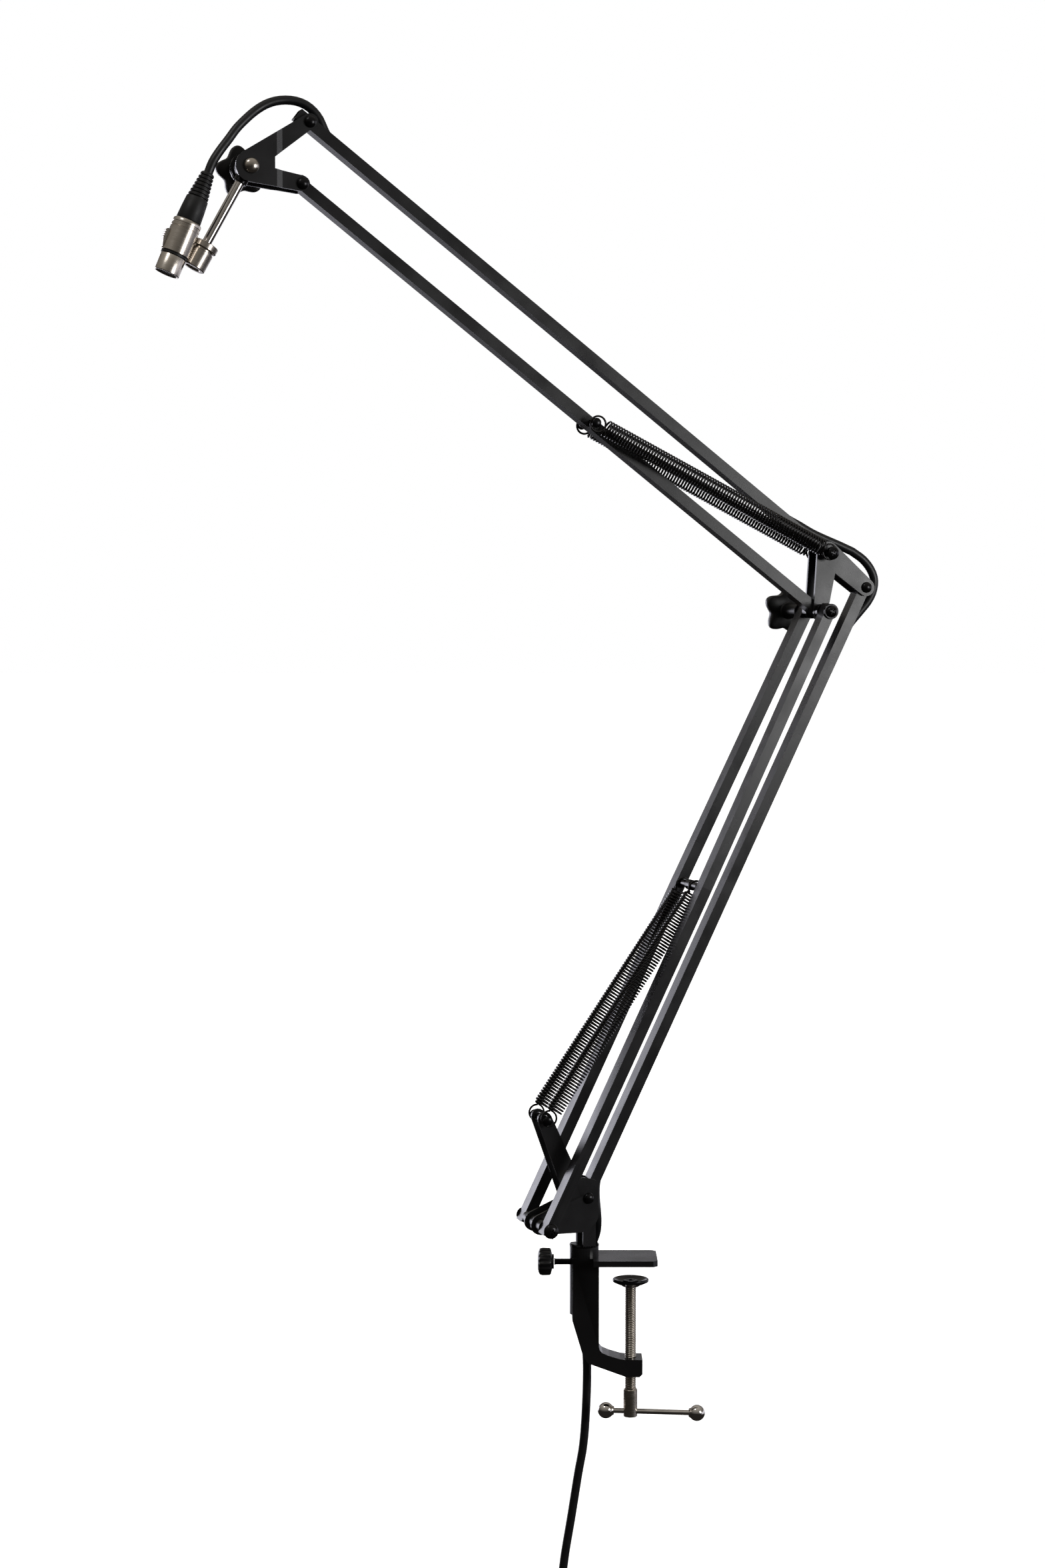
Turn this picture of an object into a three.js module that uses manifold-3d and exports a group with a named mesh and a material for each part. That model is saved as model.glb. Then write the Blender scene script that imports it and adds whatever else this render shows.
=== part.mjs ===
// Desk-clamp boom arm for a studio microphone: two spring-balanced parallelogram sections on a
// swivelling base, a tilting microphone mount and an audio cable that runs through the tubes.
// Millimetres, +Z up. The origin is on the underside of the clamp's upper jaw, over the clamp screw.
// The arm lies in a vertical plane that is swivelled about the post: inside the arm group X runs
// along that plane, Z is up, and Y runs along the pivot pins.
import * as THREE from "three";
import { mergeVertices } from "three/addons/utils/BufferGeometryUtils.js";
import Module from "manifold-3d";

const wasm = await Module();
wasm.setup();

// ---- driving dimensions ----
const GAP = 0.3;
const POST_X = -32;
const SWIVEL = 17.5;
const ARM_RISE = 6;
const SECTION = 465;
const UPPER_SECTION = 462.3;
const LOWER_ANGLE = 64;
const UPPER_ANGLE = 142.7;
const TUBE_WIDTH = 11.5;
const TUBE_HEIGHT = 7.5;
const TUBE_WALL = 0.8;
const TUBE_OVERHANG = 4.5;
const HEAD_OVERHANG = 9;
const PLATE_INNER = 6.3;
const PLATE_THICKNESS = 2;
const PLATE_OUTER = PLATE_INNER + PLATE_THICKNESS;
const FRONT_BASE = 25;
const FRONT_ELBOW = 20;
const PIN_RADIUS = 2.5;
const PIN_HOLE = PIN_RADIUS + GAP;
const SPRING_RADIUS = 6;
const WIRE_RADIUS = 0.7;
const SPRING_REACH = 210;
const LOWER_SPRING_TOP = 12.6;
const LOWER_SPRING_BOTTOM = 14;
const UPPER_SPRING_OUT = 14.6;
const CABLE_RADIUS = 3;
const CABLE_SIDES = 8;
const CABLE_STEP = 14;
const JAW_THICKNESS = 4;
const JAW_WIDTH = 38;
const SPINE_WIDTH = 20;
const SOCKET_RADIUS = 10;
const SOCKET_TOP = 11;
const POST_RADIUS = 6;
const NECK_LEFT = -3.5;
const NECK_RIGHT = 5.7;
const CORE_RADIUS = 5.7;
const COLLAR_RADIUS = 10.2;
const NECK_BOTTOM = SOCKET_TOP + 1 - ARM_RISE;
const SCREW_RADIUS = 4;
const PAD_TOP = -11.8;
const PAD_THICKNESS = 5.2;
const PAD_RADIUS = 12.5;
const LOCK_HEIGHT = 0;
const TOMMY_HEIGHT = -104.4;
const TOMMY_TURN = THREE.MathUtils.degToRad(-6.5);
const TOMMY_RADIUS = 1.8;
const TOMMY_LEFT = -17;
const TOMMY_RIGHT = 46;
const BOOT_RIBS = 7;
const STAR_RADIUS = 17;
const STAR_LOBES = 5;
const STAR_THICKNESS = 7.5;
const ELBOW_KNOB_HUB = 24;
const ELBOW_KNOB_TURN = THREE.MathUtils.degToRad(8);
const HEAD_KNOB_HUB = 9;
const HEAD_KNOB_TURN = THREE.MathUtils.degToRad(28);
const HUB_JOG = 1.5;
const HUB_INNER = PLATE_INNER + HUB_JOG;
const HUB_OUTER = PLATE_OUTER + HUB_JOG;
const MOUNT_ANGLE = -119.3;
const ROD_RADIUS = 3.2;
const PLUG_ANGLE = -113;
const PLUG_SIDE = -7.6;
const COIL_RADIUS = 36;
const STRAND_OFFSET = 7.05;
const BUNDLE_RADIUS = 10.2;
const TAIL_BEND = 20;
const TAIL_SIDE = 18;
const STRAP_TURN = THREE.MathUtils.degToRad(24);

// ---- pivot points in the arm's plane (X along the arm, Y of the vector is height) ----
const polar = (length, degrees) => {
  const angle = THREE.MathUtils.degToRad(degrees);
  return new THREE.Vector2(length * Math.cos(angle), length * Math.sin(angle));
};
const REAR_OFFSET = polar(38.1, 25.6);
const TOP_OFFSET = polar(40.6, 82.5);
const baseFront = new THREE.Vector2(-34, 23);
const baseRear = baseFront.clone().add(REAR_OFFSET);
const springArm = baseFront.clone().add(new THREE.Vector2(2.9, 72.6));
const elbowFront = baseFront.clone().add(polar(SECTION, LOWER_ANGLE));
const elbowRear = elbowFront.clone().add(REAR_OFFSET);
const elbowTop = elbowFront.clone().add(TOP_OFFSET);
const headLower = elbowFront.clone().add(polar(UPPER_SECTION, UPPER_ANGLE));
const headUpper = headLower.clone().add(TOP_OFFSET);
const headHub = headLower.clone().add(new THREE.Vector2(-34.5, 10.2));
const lowerCross = baseFront.clone().add(polar(SECTION - SPRING_REACH, LOWER_ANGLE));
const upperAnchor = elbowFront.clone().add(polar(SPRING_REACH, UPPER_ANGLE));

// ---- materials ----
const material = (color, roughness, metalness) =>
  new THREE.MeshStandardMaterial({ color, roughness, metalness });
const powderCoat = material(0x1b1b1d, 0.4, 0.5);
const castBlack = material(0x161616, 0.45, 0.4);
const springBlack = material(0x141416, 0.3, 0.7);
const screwBlack = material(0x101012, 0.25, 0.7);
const plasticBlack = material(0x121213, 0.5, 0.0);
const rubberBlack = material(0x0e0e0f, 0.7, 0.0);
const cableBlack = material(0x121314, 0.55, 0.0);
const nickel = material(0xb8b2a8, 0.25, 1.0);
const chrome = material(0xd0cdc8, 0.1, 1.0);
const insertGrey = material(0x77787a, 0.6, 0.0);
const strapBlack = material(0x18181a, 0.9, 0.0);

// ---- shape helpers ----
function toSolid(geometry) {
  const bare = geometry.clone();
  bare.deleteAttribute("normal");
  bare.deleteAttribute("uv");
  const merged = mergeVertices(bare, 1e-4);
  const vertProperties = new Float32Array(merged.attributes.position.array);
  const triVerts = new Uint32Array(merged.index.array);
  return new wasm.Manifold(new wasm.Mesh({ numProp: 3, vertProperties, triVerts }));
}

function toGeometry(solid) {
  const mesh = solid.getMesh();
  const geometry = new THREE.BufferGeometry();
  geometry.setAttribute("position", new THREE.BufferAttribute(mesh.vertProperties, 3));
  geometry.setIndex(new THREE.BufferAttribute(mesh.triVerts, 1));
  geometry.computeVertexNormals();
  return geometry;
}

// One body from geometries: the first list is joined, then the second is cut away.
function shaped(joined, cut = []) {
  let solid = toSolid(joined[0]);
  for (const geometry of joined.slice(1)) {
    solid = solid.add(toSolid(geometry));
  }
  for (const geometry of cut) {
    solid = solid.subtract(toSolid(geometry));
  }
  return toGeometry(solid);
}

function place(parent, name, geometry, look) {
  const mesh = new THREE.Mesh(geometry, look);
  mesh.name = name;
  parent.add(mesh);
  return mesh;
}

function box(x0, x1, y0, y1, z0, z1) {
  const geometry = new THREE.BoxGeometry(x1 - x0, y1 - y0, z1 - z0);
  return geometry.translate((x0 + x1) / 2, (y0 + y1) / 2, (z0 + z1) / 2);
}

// A round bar along Y through the point (x, z).
function barY(radius, y0, y1, at, segments = 12) {
  const geometry = new THREE.CylinderGeometry(radius, radius, y1 - y0, segments);
  return geometry.translate(at.x, (y0 + y1) / 2, at.y);
}

function barZ(radius, z0, z1, x = 0, segments = 20) {
  const geometry = new THREE.CylinderGeometry(radius, radius, z1 - z0, segments);
  return geometry.rotateX(Math.PI / 2).translate(x, 0, (z0 + z1) / 2);
}

function barX(radius, x0, x1, z = 0, segments = 14) {
  const geometry = new THREE.CylinderGeometry(radius, radius, x1 - x0, segments);
  return geometry.rotateZ(-Math.PI / 2).translate((x0 + x1) / 2, 0, z);
}

// A turned piece: pairs of radius and height from the lower end to the upper, round the Y axis.
function turned(profile, segments = 16) {
  const points = profile.map(([radius, height]) => new THREE.Vector2(radius, height));
  return new THREE.LatheGeometry(points, segments);
}

const turnedX = (profile, segments) => turned(profile, segments).rotateZ(-Math.PI / 2);

// The outline round two circles, like a drive belt's.
function belt(a, radiusA, b, radiusB) {
  const heading = Math.atan2(b.y - a.y, b.x - a.x);
  const spread = Math.acos((radiusA - radiusB) / a.distanceTo(b));
  const shape = new THREE.Shape();
  shape.absarc(a.x, a.y, radiusA, heading + spread, heading - spread + 2 * Math.PI, false);
  shape.absarc(b.x, b.y, radiusB, heading - spread, heading + spread, false);
  return shape;
}

function rectangle(x0, x1, z0, z1) {
  return polygon([[x0, z0], [x1, z0], [x1, z1], [x0, z1]]);
}

function polygon(corners) {
  return new THREE.Shape(corners.map(([x, y]) => new THREE.Vector2(x, y)));
}

// An outline in the X-Z plane, made solid from y0 to y1.
function plate(shape, y0, y1) {
  const options = { depth: y1 - y0, bevelEnabled: false, curveSegments: 4 };
  return new THREE.ExtrudeGeometry(shape, options).rotateX(Math.PI / 2).translate(0, y1, 0);
}

// An outline in the X-Y plane, made solid from z0 to z1.
function slab(shape, z0, z1) {
  const options = { depth: z1 - z0, bevelEnabled: false, curveSegments: 8 };
  return new THREE.ExtrudeGeometry(shape, options).translate(0, 0, z0);
}

function link(parent, at, degrees) {
  const group = new THREE.Group();
  group.position.set(at.x, 0, at.y);
  group.rotation.y = -THREE.MathUtils.degToRad(degrees);
  parent.add(group);
  return group;
}

// Points evenly spaced in angle, each at the radius that the function gives for that angle.
function ringPoints(count, radiusAt) {
  return Array.from({ length: count }, (_, index) => {
    const angle = (2 * Math.PI * index) / count;
    return [radiusAt(angle) * Math.cos(angle), radiusAt(angle) * Math.sin(angle)];
  });
}

function cable(parent, name, points) {
  const path = new THREE.CatmullRomCurve3(points.map((point) => new THREE.Vector3(...point)));
  const section = ringPoints(CABLE_SIDES, () => CABLE_RADIUS);
  const steps = Math.ceil(path.getLength() / CABLE_STEP);
  const options = { steps, bevelEnabled: false, extrudePath: path };
  place(parent, name, new THREE.ExtrudeGeometry(polygon(section), options), cableBlack);
}

// A pin with a domed head at each end, centred on Y.
function domedPin(at, shank, half, head, headHeight) {
  const crown = 0.62 * head;
  const profile = [
    [0, -half - headHeight], [crown, -half - 0.85 * headHeight], [head, -half], [shank, -half],
    [shank, half], [head, half], [crown, half + 0.85 * headHeight], [0, half + headHeight],
  ];
  return turned(profile, 12).translate(at.x, 0, at.y);
}

function washer(at, inner, outer, y0, y1) {
  const profile = [[inner, y0], [outer, y0], [outer, y1], [inner, y1], [inner, y0]];
  return turned(profile, 12).translate(at.x, 0, at.y);
}

const root = new THREE.Group();

// ---- desk clamp ----
function clampFrame() {
  const spine = polygon([
    [-8, JAW_THICKNESS], [-8.3, -39], [-0.7, -64.4], [2.5, -68.8], [29, -78.4], [38, -78.4],
    [40, -76.4], [40, -66.4], [28.5, -66.4], [24.7, -65.9], [17, -63.6], [12.4, -61.6],
    [10.6, -59.6], [10, -57.2], [10, JAW_THICKNESS],
  ]);
  const spineSolid = plate(spine, -SPINE_WIDTH / 2, SPINE_WIDTH / 2).translate(POST_X, 0, 0);
  const jaw = polygon([
    [6, -JAW_WIDTH / 2], [47, -JAW_WIDTH / 2], [50, -JAW_WIDTH / 2 + 3], [50, JAW_WIDTH / 2 - 3],
    [47, JAW_WIDTH / 2], [6, JAW_WIDTH / 2],
  ]);
  const jawSolid = slab(jaw, 0, JAW_THICKNESS).translate(POST_X, 0, 0);
  const socket = barZ(SOCKET_RADIUS, -36, SOCKET_TOP, POST_X, 32);
  const bore = barZ(POST_RADIUS + GAP, -28, SOCKET_TOP + 1, POST_X);
  const screwHole = barZ(SCREW_RADIUS + GAP, -80, -60);
  const lockHole = barX(2.3 + GAP, POST_X - 12, POST_X - 4, LOCK_HEIGHT);
  return shaped([spineSolid, jawSolid, socket], [bore, screwHole, lockHole]);
}

function lockScrew() {
  const stem = turnedX([
    [0, POST_X - 20.6], [2.3, POST_X - 20.6], [2.3, POST_X - 6.7], [0, POST_X - 6.7],
  ], 16);
  const knob = turnedX([
    [0, POST_X - 32], [8, POST_X - 32], [9.2, POST_X - 30.5], [9.2, POST_X - 23], [5, POST_X - 22.2],
    [5, POST_X - 20.9], [0, POST_X - 20.9],
  ], 24);
  place(root, "lock_stem", stem.translate(0, 0, LOCK_HEIGHT), screwBlack);
  place(root, "lock_knob", knob.translate(0, 0, LOCK_HEIGHT), plasticBlack);
}

function clampScrew() {
  const padSide = PAD_TOP - PAD_THICKNESS;
  const pad = slab(circle(PAD_RADIUS), padSide, PAD_TOP);
  const thread = barZ(SCREW_RADIUS, -90, padSide - GAP, 0, 24);
  const sleeve = barZ(4.8, -108, -89, 0, 24);
  const crossHole = barX(TOMMY_RADIUS + GAP, -8, 8, TOMMY_HEIGHT).rotateZ(TOMMY_TURN);
  const bar = barX(TOMMY_RADIUS, TOMMY_LEFT + 5, TOMMY_RIGHT - 5, TOMMY_HEIGHT, 16);
  place(root, "clamp_pad", pad, castBlack);
  place(root, "clamp_screw", shaped([thread, sleeve], [crossHole]), nickel);
  place(root, "tommy_bar", bar.rotateZ(TOMMY_TURN), chrome);
  for (const [name, x] of [["tommy_ball_left", TOMMY_LEFT], ["tommy_ball_right", TOMMY_RIGHT]]) {
    const ball = new THREE.SphereGeometry(5.6, 16, 10).translate(x, 0, TOMMY_HEIGHT);
    const socket = barX(TOMMY_RADIUS + GAP, TOMMY_LEFT + 4.7, TOMMY_RIGHT - 4.7, TOMMY_HEIGHT, 16);
    place(root, name, shaped([ball], [socket]).rotateZ(TOMMY_TURN), chrome);
  }
}

function circle(radius) {
  const shape = new THREE.Shape();
  shape.absarc(0, 0, radius, 0, 2 * Math.PI, false);
  return shape;
}

place(root, "clamp_frame", clampFrame(), castBlack);
lockScrew();
clampScrew();

// ---- the swivelled plane of the arm ----
const arm = new THREE.Group();
arm.position.set(POST_X, 0, ARM_RISE);
arm.rotation.z = THREE.MathUtils.degToRad(SWIVEL);
root.add(arm);

// ---- base bracket ----
function basePlate(side) {
  const low = side > 0 ? PLATE_INNER : -PLATE_OUTER;
  const high = low + PLATE_THICKNESS;
  const armFoot = new THREE.Vector2(-10, 44);
  const bodyCentre = new THREE.Vector2(-5, 29);
  const outlines = [
    belt(baseFront, 7, bodyCentre, 13),
    belt(springArm, 5, armFoot, 7.5),
    polygon([
      [-10, 16.5], [NECK_RIGHT, 16.5], [NECK_RIGHT, 28], [7.5, 36], [7.5, 50], [6, 51.5], [-3.5, 54],
      [-10.5, 51],
    ]),
    rectangle(NECK_LEFT, NECK_RIGHT, NECK_BOTTOM, 20),
  ];
  const holes = [baseFront, baseRear, springArm].map((at) => barY(PIN_HOLE, low - 1, high + 1, at));
  return shaped(outlines.map((outline) => plate(outline, low, high)), holes);
}

function basePost() {
  const stem = turned([
    [0, -27.5], [5, -27.5], [POST_RADIUS, -26.5], [POST_RADIUS, SOCKET_TOP + GAP],
    [COLLAR_RADIUS, SOCKET_TOP + GAP], [COLLAR_RADIUS, SOCKET_TOP + 1.4],
    [COLLAR_RADIUS - 0.7, SOCKET_TOP + 2], [0, SOCKET_TOP + 2],
  ], 24).rotateX(Math.PI / 2).translate(0, 0, -ARM_RISE);
  const core = barZ(CORE_RADIUS, NECK_BOTTOM, 27);
  const plateRoom = [-1, 1].map((side) => {
    const inner = side * (PLATE_INNER - GAP);
    const outer = side * 12;
    return box(-12, 12, Math.min(inner, outer), Math.max(inner, outer), NECK_BOTTOM - GAP, 30);
  });
  return shaped([stem, core], plateRoom);
}

function baseBracket() {
  place(arm, "base_plate_near", basePlate(-1), powderCoat);
  place(arm, "base_plate_far", basePlate(1), powderCoat);
  place(arm, "base_post", basePost(), screwBlack);
  const outer = FRONT_BASE + TUBE_WIDTH / 2 + GAP;
  place(arm, "base_front_bolt", domedPin(baseFront, PIN_RADIUS, outer, 5.2, 3.2), screwBlack);
  place(arm, "base_rear_pin", domedPin(baseRear, PIN_RADIUS, PLATE_OUTER + GAP, 3.8, 2.6), screwBlack);
  const armPin = domedPin(springArm, PIN_RADIUS, LOWER_SPRING_BOTTOM + 1.4, 3.3, 1.6);
  place(arm, "spring_arm_pin", armPin, screwBlack);
  const inner = PLATE_INNER - GAP;
  const tubeSide = FRONT_BASE - TUBE_WIDTH / 2 - GAP;
  const plateSide = PLATE_OUTER + GAP;
  place(arm, "base_spacer_centre", washer(baseFront, PIN_HOLE, 5, -inner, inner), screwBlack);
  place(arm, "base_spacer_near", washer(baseFront, PIN_HOLE, 5, -tubeSide, -plateSide), screwBlack);
  place(arm, "base_spacer_far", washer(baseFront, PIN_HOLE, 5, plateSide, tubeSide), screwBlack);
}

// ---- tubes ----
const origin2 = new THREE.Vector2(0, 0);
const along = (distance) => new THREE.Vector2(distance, 0);

// A straight hollow tube along X with pin holes, and slots in its outer wall where the cable passes.
function straightTube(section, holes, slots, overhang = TUBE_OVERHANG) {
  const end = section + overhang;
  const halfWidth = TUBE_WIDTH / 2;
  const halfHeight = TUBE_HEIGHT / 2;
  const boreWidth = halfWidth - TUBE_WALL;
  const boreHeight = halfHeight - TUBE_WALL;
  const outside = box(-TUBE_OVERHANG, end, -halfWidth, halfWidth, -halfHeight, halfHeight);
  const inside = box(-TUBE_OVERHANG - 1, end + 1, -boreWidth, boreWidth, -boreHeight, boreHeight);
  const pinHoles = holes.map((distance) => barY(PIN_HOLE, -halfWidth - 1, halfWidth + 1, along(distance)));
  const ports = slots.map(([start, stop]) => box(start, stop, -3.6, 3.6, -halfHeight - 1, 0));
  return shaped([outside], [inside, ...pinHoles, ...ports]);
}

// A front tube: parallel to the bracket up to the spring cross pin, then bent in towards the elbow.
function bentTube(side) {
  const bend = SECTION - SPRING_REACH;
  const end = SECTION + TUBE_OVERHANG;
  const slope = (FRONT_BASE - FRONT_ELBOW) / SPRING_REACH;
  const tip = FRONT_ELBOW - slope * TUBE_OVERHANG;
  const strip = (half, extra) => polygon([
    [-TUBE_OVERHANG - extra, FRONT_BASE - half], [bend, FRONT_BASE - half],
    [end + extra, tip - half - slope * extra], [end + extra, tip + half - slope * extra],
    [bend, FRONT_BASE + half], [-TUBE_OVERHANG - extra, FRONT_BASE + half],
  ]);
  const halfHeight = TUBE_HEIGHT / 2;
  const outside = slab(strip(TUBE_WIDTH / 2, 0), -halfHeight, halfHeight);
  const bore = slab(strip(TUBE_WIDTH / 2 - TUBE_WALL, 1), TUBE_WALL - halfHeight, halfHeight - TUBE_WALL);
  const holes = [0, SECTION].map((distance) => barY(PIN_HOLE, 5, 40, along(distance)));
  const tube = shaped([outside], [bore, ...holes]);
  return side > 0 ? tube : tube.rotateX(Math.PI);
}

function lowerSection() {
  const front = link(arm, baseFront, LOWER_ANGLE);
  place(front, "lower_tube_near", bentTube(-1), powderCoat);
  place(front, "lower_tube_far", bentTube(1), powderCoat);
  const half = FRONT_BASE - TUBE_WIDTH / 2 - 2 * GAP;
  const profile = [
    [0, -half], [3.6, -half], [3.6, -half + 1.6], [PIN_RADIUS, -half + 1.6], [PIN_RADIUS, -4], [3.6, -4],
    [3.6, 4], [PIN_RADIUS, 4], [PIN_RADIUS, half - 1.6], [3.6, half - 1.6], [3.6, half], [0, half],
  ];
  const crossPin = turned(profile, 14).translate(SECTION - SPRING_REACH, 0, 0);
  place(front, "lower_cross_pin", crossPin, screwBlack);
  const rear = link(arm, baseRear, LOWER_ANGLE);
  const tube = straightTube(SECTION, [0, SECTION], [[3.8, 38], [SECTION - 37, SECTION - 7.4]]);
  place(rear, "lower_rear_tube", tube, powderCoat);
}

function upperSection() {
  const lower = link(arm, elbowFront, UPPER_ANGLE);
  const lowerTube = straightTube(UPPER_SECTION, [0, SPRING_REACH, UPPER_SECTION], []);
  place(lower, "upper_lower_tube", lowerTube, powderCoat);
  const anchor = domedPin(along(SPRING_REACH), PIN_RADIUS, UPPER_SPRING_OUT + 1.4, 3.3, 1.6);
  place(lower, "upper_spring_pin", anchor, screwBlack);
  const upper = link(arm, elbowTop, UPPER_ANGLE);
  const slots = [[11, 44], [UPPER_SECTION - 28, UPPER_SECTION - 3.6]];
  const tube = straightTube(UPPER_SECTION, [0, UPPER_SECTION], slots, HEAD_OVERHANG);
  place(upper, "upper_top_tube", tube, powderCoat);
}

// ---- springs: the outer shape of a close-wound extension spring with a full loop at each end ----
function spring(parent, name, from, fromY, to, toY) {
  const start = new THREE.Vector3(from.x, fromY, from.y);
  const end = new THREE.Vector3(to.x, toY, to.y);
  const length = start.distanceTo(end);
  const hookRadius = SPRING_RADIUS - WIRE_RADIUS;
  const hookShift = hookRadius - WIRE_RADIUS - PIN_RADIUS - GAP;
  const bodyStart = hookShift + hookRadius;
  const coil = SPRING_RADIUS - 2 * WIRE_RADIUS;
  const body = turnedX([
    [coil, bodyStart], [SPRING_RADIUS, bodyStart], [SPRING_RADIUS, length - bodyStart],
    [coil, length - bodyStart], [coil, bodyStart],
  ], 12);
  const bridges = [bodyStart, length - bodyStart].map((x) => box(x - 0.7, x + 0.7, -0.7, 0.7, -5, 5));
  const hooks = [hookShift, length - hookShift].map((x) => {
    const ring = new THREE.TorusGeometry(hookRadius, WIRE_RADIUS, 5, 12);
    return ring.rotateX(Math.PI / 2).translate(x, 0, 0);
  });
  const mesh = place(parent, name, shaped([body, ...bridges, ...hooks]), springBlack);
  mesh.position.copy(start);
  mesh.rotation.order = "YZX";
  const across = Math.hypot(end.x - start.x, end.z - start.z);
  mesh.rotation.y = -Math.atan2(end.z - start.z, end.x - start.x);
  mesh.rotation.z = Math.atan2(toY - fromY, across);
}

function springs() {
  for (const [side, where] of [[-1, "near"], [1, "far"]]) {
    const bottom = side * LOWER_SPRING_BOTTOM;
    const top = side * LOWER_SPRING_TOP;
    spring(arm, `lower_spring_${where}`, springArm, bottom, lowerCross, top);
    const out = side * UPPER_SPRING_OUT;
    spring(arm, `upper_spring_${where}`, elbowTop, out, upperAnchor, out);
  }
}

// ---- elbow bracket ----
function elbowPlate(side) {
  const low = side > 0 ? PLATE_INNER : -PLATE_OUTER;
  const high = low + PLATE_THICKNESS;
  const outlines = [belt(elbowTop, 8, elbowFront, 5.3), belt(elbowTop, 8, elbowRear, 6)];
  const holes = [elbowTop, elbowFront, elbowRear].map((at) => barY(PIN_HOLE, low - 1, high + 1, at));
  return shaped(outlines.map((outline) => plate(outline, low, high)), holes);
}

// A hand knob round the Y axis: a five-lobed head on a round hub, bored for its bolt.
function starKnob(start, hubLength, turn) {
  const lobes = (angle) => STAR_RADIUS * (0.83 + 0.17 * Math.cos(STAR_LOBES * (angle - turn)));
  const starStart = start + hubLength;
  const star = plate(polygon(ringPoints(40, lobes)), starStart, starStart + STAR_THICKNESS);
  const hub = barY(5.4, start, starStart + 1, origin2);
  const bore = barY(PIN_HOLE, start - 1, starStart + 5, origin2);
  return shaped([star, hub], [bore]);
}

function elbowBracket() {
  place(arm, "elbow_plate_near", elbowPlate(-1), powderCoat);
  place(arm, "elbow_plate_far", elbowPlate(1), powderCoat);
  const topHalf = UPPER_SPRING_OUT + 1.8;
  place(arm, "elbow_spring_pin", domedPin(elbowTop, PIN_RADIUS, topHalf, 4.6, 2.8), screwBlack);
  place(arm, "elbow_rear_pin", domedPin(elbowRear, PIN_RADIUS, PLATE_OUTER + GAP, 3.8, 2.6), screwBlack);
  const outer = FRONT_ELBOW + TUBE_WIDTH / 2 + 2 * GAP;
  const boltEnd = outer + ELBOW_KNOB_HUB + 4;
  const bolt = turned([
    [0, -outer - 4.2], [2.8, -outer - 3.8], [4.1, -outer - 2.6], [4.1, -outer - 1], [5.3, -outer - 1],
    [5.3, -outer], [PIN_RADIUS, -outer], [PIN_RADIUS, boltEnd], [0, boltEnd],
  ], 14);
  place(arm, "elbow_main_bolt", bolt.translate(elbowFront.x, 0, elbowFront.y), screwBlack);
  const tubeSide = FRONT_ELBOW - TUBE_WIDTH / 2 - 2 * GAP;
  const plateSide = PLATE_OUTER + GAP;
  place(arm, "elbow_washer_near", washer(elbowFront, PIN_HOLE, 5, -tubeSide, -plateSide), screwBlack);
  place(arm, "elbow_washer_far", washer(elbowFront, PIN_HOLE, 5, plateSide, tubeSide), screwBlack);
  const knob = starKnob(outer + GAP, ELBOW_KNOB_HUB, ELBOW_KNOB_TURN);
  place(arm, "elbow_knob", knob.translate(elbowFront.x, 0, elbowFront.y), plasticBlack);
}

// ---- head bracket and microphone mount ----
// A flat plate with a set in it, so that it stands wider round the hub than at the tubes.
function headPlate(side) {
  const jogStart = headHub.x + 17;
  const jogEnd = headHub.x + 21;
  const layer = polygon([
    [headHub.x - 20, HUB_INNER], [jogStart, HUB_INNER], [jogEnd, PLATE_INNER],
    [headUpper.x + 20, PLATE_INNER], [headUpper.x + 20, PLATE_OUTER], [jogEnd, PLATE_OUTER],
    [jogStart, HUB_OUTER], [headHub.x - 20, HUB_OUTER],
  ]);
  const layerSolid = toSolid(slab(layer, headLower.y - 20, headUpper.y + 20));
  const outlines = [belt(headHub, 10.5, headUpper, 5.5), belt(headHub, 10.5, headLower, 5)];
  const holes = [headHub, headUpper, headLower].map((at) => barY(PIN_HOLE, 0, 20, at));
  const notch = [[15.8, -1.2], [33.5, -4.7], [50, -4.7], [50, 32.4], [15.8, 6.3]];
  const notchShape = polygon(notch.map(([x, z]) => [headHub.x + x, headHub.y + z]));
  const outline = shaped(outlines.map((shape) => plate(shape, 2, 14)), [...holes, plate(notchShape, 1, 15)]);
  const solid = toSolid(outline).intersect(layerSolid);
  return toGeometry(side > 0 ? solid : solid.mirror([0, 1, 0]));
}

function headBracket() {
  place(arm, "head_plate_near", headPlate(-1), powderCoat);
  place(arm, "head_plate_far", headPlate(1), powderCoat);
  for (const [name, at] of [["head_upper_pin", headUpper], ["head_lower_pin", headLower]]) {
    place(arm, name, domedPin(at, PIN_RADIUS, PLATE_OUTER + GAP, 4, 2.8), screwBlack);
  }
  const outer = HUB_OUTER + GAP;
  const bolt = turned([
    [0, -outer - 3.6], [3, -outer - 3], [5.2, -outer - 1], [5.2, -outer], [PIN_RADIUS, -outer],
    [PIN_RADIUS, outer + HEAD_KNOB_HUB + 3], [0, outer + HEAD_KNOB_HUB + 3],
  ], 14);
  place(arm, "head_bolt", bolt.translate(headHub.x, 0, headHub.y), nickel);
  const knob = starKnob(outer + GAP, HEAD_KNOB_HUB, HEAD_KNOB_TURN);
  place(arm, "head_knob", knob.translate(headHub.x, 0, headHub.y), plasticBlack);
}

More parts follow.
